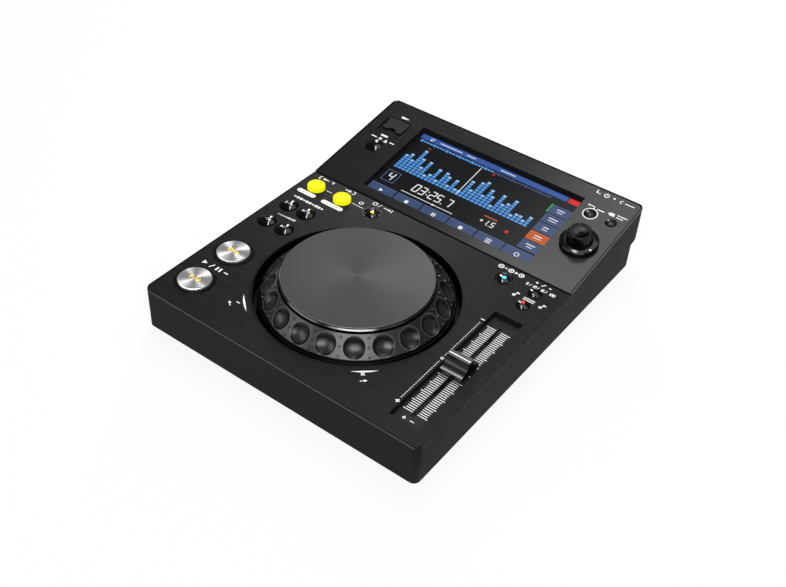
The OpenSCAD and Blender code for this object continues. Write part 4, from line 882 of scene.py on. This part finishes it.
DECK_INK = LEFT_INK + right_print()
slabs("deck_print", DECK_INK, on_deck, "ink", thick=0.04)
slabs("plate_dots", [disc(x, WHITE_ROW, 0.55, 12) for x in (-109.4, -106.6, -103.8, -85, -82, -79, -76)],
      on_deck, "rim", up=0.05, thick=0.03)
print("deck print:", len(DECK_INK), "shapes")

# %% [markdown]
# ## Scale of the fader
# Two columns of ticks lie on the tray's floor, one to each side of the slot, two millimetres apart.
# Every fifth one is longer. A loop lays them as far as the fader travels, so the scale follows its
# travel, and the cap has a white index line.

# %% Fader scale and the cap's index line
FADER = middle("fader_cap")
TRAVEL, STEP = 50, 2
SIGN_Y = -130.6
ticks = []
for i in range(2 * TRAVEL // STEP + 1):
    far = 9.6 if i % 5 == 0 else 8.4
    y = FADER.y - TRAVEL + STEP * i
    for side in (-1, 1):
        ticks.append(stroke(FADER.x + side * 2.0, y, FADER.x + side * far, y, 0.62))
ticks += plus(95.6, SIGN_Y, 2.8, 0.7) + [rule(100.4, 103.4, SIGN_Y, 0.7)]
slabs("fader_scale", ticks, on_tray, "ink", thick=0.04)
slabs("cap_index", [box2(0, -0.1, 17.0, 0.9)], on_button("fader_cap"), "ink", "fader", thick=0.05)
print("ticks:", len(ticks))

# %% [markdown]
# ## Marks on the transport caps
# A triangle with two bars, and a ring with an arrow that leaves it, lie in yellow on the caps. They
# could be a mask in the metal's material, but as slabs they share the shapes of the deck's print.

# %% Transport marks
slabs("play_mark", [arrow(-3.3, 0, 2.0), stroke(-0.6, -1.7, 0.6, 1.7, 0.6)]
      + [box2(x, 0, 1.1, 3.2) for x in (2.5, 4.5)], on_button("play_button"), "yellow_ink", "play", thick=0.04)
slabs("cue_mark", ring2(-2.8, 0, 1.6, 0.9) + [rule(-0.4, 3.4, 0, 1.0), arrow(3.8, 0, 1.9)],
      on_button("cue_button"), "yellow_ink", "cue", thick=0.04)
print("play cap at", [round(v, 1) for v in middle("play_button")])

# %% [markdown]
# The four search caps are domes, so their signs are drawn on a surface that falls away from the
# middle as a ball does: the drop is the squared distance over twice the ball's radius.

# %% Search marks
CAP_BALL = 18


def on_dome(name):
    flat = on_button(name)
    return lambda x, y, up=0.0: flat(x, y, up - (x * x + y * y) / (2 * CAP_BALL))


for name, way in (("track_back", -1), ("track_forward", 1), ("search_back", -1), ("search_forward", 1)):
    mark = [arrow(way * (-2.3 + d), 0, 1.55, 90 - 90 * way) for d in (0, 2.5)]
    if name.startswith("track"):
        mark.append(box2(way * 2.6, 0, 0.8, 2.7))
    slabs(name + "_mark", mark, on_dome(name + "_button"), "ink", name, up=-0.02, thick=0.06, sunk=0.15)
print("ball of a cap in mm:", CAP_BALL)

# %% [markdown]
# ## Lamps in the dark caps
# Three of the domed caps hold a small lamp window: amber, blue and red. Each window is a thin slab
# let into the top of its dome, brighter than its colour alone because light comes through it.

# %% Lamp windows
GLOW = {colour: finish("lamp_" + colour, "print", {"Color": tone(*rgb)}, Emission_Color=tone(*rgb),
                       Emission_Strength=0.9)
        for colour, rgb in (("amber", (250, 222, 30)), ("blue", (70, 190, 255)), ("red", (255, 40, 40)))}


def lamp_window(name, body, colour, dx, dy, wide, tall):
    outline = pill(dx, dy, wide, tall) if wide > tall else disc(dx, dy, wide / 2, 20)
    return slabs(name, [outline], on_button(body + "_button"), GLOW[colour], body, thick=0.1, sunk=0.5)


lamp_window("reloop_lamp", "reloop", "amber", 0, 0.4, 3.4, 1.8)
lamp_window("vinyl_lamp", "vinyl", "blue", 0, 0.3, 3.4, 3.4)
lamp_window("master_lamp", "master_tempo", "red", -0.8, 1.4, 2.6, 2.6)
print("lamps:", sorted(GLOW))

# %% [markdown]
# ## Print on the head
# A hook-shaped rule, a power sign and a moon by the standby light, a bent arrow over the return
# button, a tag over its neighbour, a memory stick over the compartment and an eject sign under it.

# %% Head print
STANDBY_ROW, RETURN_ROW, EJECT_ROW = 104.4, 87.2, 61.2


def head_print():
    ink = [stroke(82.2, 103.8, 82.2, 107, 0.7), rule(82.2, 85.8, 103.8, 0.7)]
    ink += [arc(90.8, 104.7, 1.9, 0.7, 120, 420), stroke(90.8, 104.9, 90.8, 107.2, 0.7)]
    ink += [arc(104.2, STANDBY_ROW, 1.4, 0.6, 60, 300), rule(107.2, 115, STANDBY_ROW, 0.8)]
    ink += [arc(88.2, RETURN_ROW, 1.4, 0.7, 270, 450), rule(85, 88.2, 88.6, 0.7), arrow(84.2, 88.6, 1.3, 180),
            rule(92, 98.4, RETURN_ROW, 0.9)]
    ink += [[(101.2, 88.4), (103, 86.8), (106.6, 86.8), (106.6, 90), (103, 90)],
            rule(108.6, 117, 89.8, 0.8), rule(108.6, 114.6, RETURN_ROW, 0.8)]
    ink += [box2(-99.4, 93.8, 5, 1.9), box2(-95.6, 93.8, 1.6, 1.2)]
    ink += [rule(-109.6, -104.2, EJECT_ROW, 0.9), box2(-100.4, EJECT_ROW, 2.6, 2.6),
            arrow(-94.6, EJECT_ROW, 1.7, 90), rule(-96.4, -92.8, 59.6, 0.7), rule(-91, -86.2, EJECT_ROW, 0.9)]
    return ink


HEAD_INK = head_print()
slabs("head_print", HEAD_INK, on_head, "ink", thick=0.04)
slabs("selector_dot", [pill(111.1, 42.6, 2.3, 1.4)], on_head, "ink", "selector", up=3.95, thick=0.06, sunk=0.4)
print("head print:", len(HEAD_INK), "shapes")

# %% [markdown]
# ## The picture on the display
# The display shows a player's page of plain design: a row of keys along the bottom, a column of keys
# at the right, bars of a level meter, a track of blocks and large numerals. The picture is drawn as
# thin lit slabs on the glass, a few per colour, and a fine grid dims the edge of every dot.

# %% Colours and plane of the display
SCREEN = {name: finish("screen_" + name, "pixels", {"Color": tone(*rgb)}, Base_Color=tone(6), Roughness=0.2,
                       Specular_IOR_Level=0.12, Emission_Strength=1.0)
          for name, rgb in (
              ("face", (16, 18, 21)), ("key", (64, 82, 120)), ("key_edge", (96, 116, 158)),
              ("light", (88, 160, 236)), ("pale", (150, 200, 250)), ("white", (240, 242, 246)),
              ("red", (226, 34, 34)), ("orange", (196, 92, 44)), ("green", (52, 190, 92)),
              ("band", (58, 92, 168)))}
SCREEN_S = 51.0
GLASS_UP = -4.0
WIDE, TALL = 156.5, 84.4


def on_screen(x, y, up=0.0):
    return on_head(x, SCREEN_S + y, GLASS_UP + up)


print("screen colours:", len(SCREEN))

# %% The page on the display
KEY_ROW, SIGN_ROW, BAND_ROW = -36.2, -36.4, 36.6
KEY_COLUMN = 68.2
METER_X, METER_STEP, METER_BASE, BLOCK = -72, 3.78, -6.4, 3.1
TRACK_X, TRACK_STEP, PLAYED = -72.4, 3.2, 23


def screen_shapes():
    face = [box2(0, 0, WIDE - 0.4, TALL - 0.4)]
    key, edge, light, pale, white, red, orange, green, band = ([] for _ in range(9))
    # Keys along the bottom, with a plain sign on each
    for i in range(6):
        x = -64.6 + 25.8 * i
        key.append(box2(x, KEY_ROW, 24.6, 9.4))
        edge.append(box2(x, -31.2, 24.6, 0.5))
    white += [arrow(-65, SIGN_ROW, 2.2), box2(-39.4, SIGN_ROW, 3.2, 3.2), box2(-14, SIGN_ROW, 1.2, 3.6),
              box2(-12, SIGN_ROW, 1.2, 3.6), disc(12.8, SIGN_ROW, 1.9, 18)]
    white += [box2(38.6, SIGN_ROW + d, 5, 0.8) for d in (-1.8, 0, 1.8)] + ring2(64.4, SIGN_ROW, 1.8, 0.7)
    # Keys down the right side
    for i in range(5):
        y = -23.6 + 11.2 * i
        (orange if i == 1 else key).append(box2(KEY_COLUMN, y, 17.4, 10.2))
        white.append(box2(KEY_COLUMN, y + 1.2, 8 - i % 3 * 1.6, 0.9))
        white.append(box2(KEY_COLUMN, y - 1.4, 5 + i % 2 * 2, 0.7))
    green.append(box2(58.6, 21.2, 1.0, 10.2))
    # A band along the top with numerals
    band.append(box2(-5, BAND_ROW, 142, 5.4))
    white += digits("12", -66, BAND_ROW, 3.2, 0.5)
    white += [box2(x, BAND_ROW, w, 0.8) for x, w in ((-46, 22), (-26, 9), (10, 14))]
    red.append(box2(71.5, BAND_ROW, 9, 5.4))
    # The level meter: columns of blocks that rise from a base line
    for i in range(34):
        x = METER_X + METER_STEP * i
        size = 0.42 + 0.3 * math.sin(0.55 * i) * math.sin(0.21 * i + 1) + 0.22 * math.sin(2.3 * i + 0.4)
        count = max(2, round(11 * min(1.0, max(0.08, size))))
        for k in range(count):
            (pale if k == count - 1 else light).append(box2(x, METER_BASE + BLOCK * k, 2.9, 2.3))
        if count > 9:
            orange.append(box2(x, METER_BASE + BLOCK * (count + 0.4), 2.9, 0.8))
    white.append(box2(METER_X + METER_STEP * 16, 11, 0.7, 37))
    # The track of blocks, the numerals under the meter
    for i in range(40):
        block = box2(TRACK_X + TRACK_STEP * i, 31.4, 2.5, 1.7 if i % 4 else 2.6)
        (light if i < PLAYED else key).append(block)
    red.append(arrow(TRACK_X + TRACK_STEP * PLAYED, 28.9, 1.5, 90))
    for text, x, y, h, w in (("03:25.7", -26, -19, 8.4, 1.0), ("+1.5", 27, -20.4, 5.4, 0.75),
                             ("4", -67.6, -19, 8.4, 1.0)):
        white += digits(text, x, y, h, w)
    edge += [box2(-67.6, y, 12, 0.5) for y in (-12.6, -25.4)]
    edge += [box2(x, -19, 0.5, 12.8) for x in (-73.6, -61.6)]
    orange += [box2(27, -14.6, 12, 1.2)]
    red += [disc(45, -20.4, 1.6, 18)]
    white += [box2(-26, -27.6, 50, 0.6), disc(-20, -27.6, 1.0, 14)]
    return dict(face=face, key=key, key_edge=edge, light=light, pale=pale, white=white, red=red, orange=orange,
                green=green, band=band)


TOP_LAYER = 0.07
LAYER = {"face": 0.02, "key": 0.04, "band": 0.04, "light": 0.05, "orange": 0.05, "green": 0.05}
for name, shapes in screen_shapes().items():
    slabs("screen_" + name, shapes, on_screen, SCREEN[name], thick=LAYER.get(name, TOP_LAYER), sunk=0.0)
print("layers:", len(SCREEN))

# %% [markdown]
# ## Hidden sides
# The back carries sockets. Their metal contacts, and the coloured rings of the two audio jacks, are
# small pieces of their own, and each socket has a plain sign printed at its side: a wave for the
# mains, a tree for the network, a framed arrow for data and an arrow that leaves for sound. Each
# screw head gets a dark cross slab as painted shade for its cross recess.

# %% Sockets and screws
BACK_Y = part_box("rear_panel")[1].y / MM


def on_back(x, z, out=0.0):
    return Vector((-x, BACK_Y + out, z)) * MM


def under(x, y, down=0.0):
    return Vector((x, -y, -down)) * MM


JACK_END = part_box("audio_jacks")[1].y / MM
SOCKET_ROW = 17
JACK_RING = [(1.75, -0.2), (3.2, -0.2), (3.2, 0.12), (1.75, 0.12), (1.75, -0.2)]
for name, x, rgb in (("jack_ring_white", 62, (232, 232, 228)), ("jack_ring_red", 80, (190, 30, 34))):
    ring = finish(name, "print", {"Color": tone(*rgb)})
    turned(name, JACK_RING, lambda u, v, up, x=x: Vector((x + u, JACK_END + up, SOCKET_ROW + v)) * MM, ring)
slabs("network_contacts", [box2(-11.5 + i, 15.4, 0.45, 3.0) for i in range(8)], on_back, "brass", up=-12.5,
      thick=0.3, sunk=0.6)
for name, places, place, up in (
        ("base", [(x, -y) for x in (-115.4, 115.4) for y in (-143.5, 42.0, 133.0)], under, -3.8),
        ("back", [(-x, z) for x in (-109.5, 109.5) for z in (10.8, 20.8)], on_back, 1.2)):
    # Dark crosses on the screw heads are painted shade for their cross recesses.
    cross = [shape for x, y in places for shape in plus(x, y, 3.2, 0.7)]
    slabs(name + "_screw_recess_shade", cross, place, "rim", up=up, thick=0.03, sunk=0.4)
print("rear panel at y", round(BACK_Y, 2))

# %% Signs on the back
sign = [arc(66.8, SOCKET_ROW, 1.2, 0.6, 0, 180), arc(69.2, SOCKET_ROW, 1.2, 0.6, 180, 360)]
sign += [box2(x, z, 2, 1.7) for x, z in ((6, 19.2), (3.7, 14.8), (8.3, 14.8))]
sign += [stroke(x, z, x, end, 0.5) for x, z, end in ((6, 18.4, 17), (3.7, 17, 15.6), (8.3, 17, 15.6))]
sign += [rule(3.5, 8.5, SOCKET_ROW, 0.5)]
sign += [rule(-24, -20, z, 0.5) for z in (15.2, 18.8)] + [stroke(x, 15, x, 19, 0.5) for x in (-24, -20)]
sign += [arrow(-22.2, SOCKET_ROW, 1.2), rule(-49.4, -46.4, SOCKET_ROW, 0.7), arrow(-45.6, SOCKET_ROW, 1.5)]
sign += ring2(-50.8, SOCKET_ROW, 1.0, 0.5)
slabs("back_print", sign, on_back, "ink", thick=0.04)
CASE_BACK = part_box("main_case")[1].y / MM
slabs("power_sign", [arc(-77, 43, 1.9, 0.6, 120, 420), stroke(-77, 43.2, -77, 45.4, 0.6)],
      lambda x, z, out=0.0: Vector((-x, CASE_BACK + out, z)) * MM, "ink", thick=0.04)
print("signs on the back:", len(sign), "shapes")
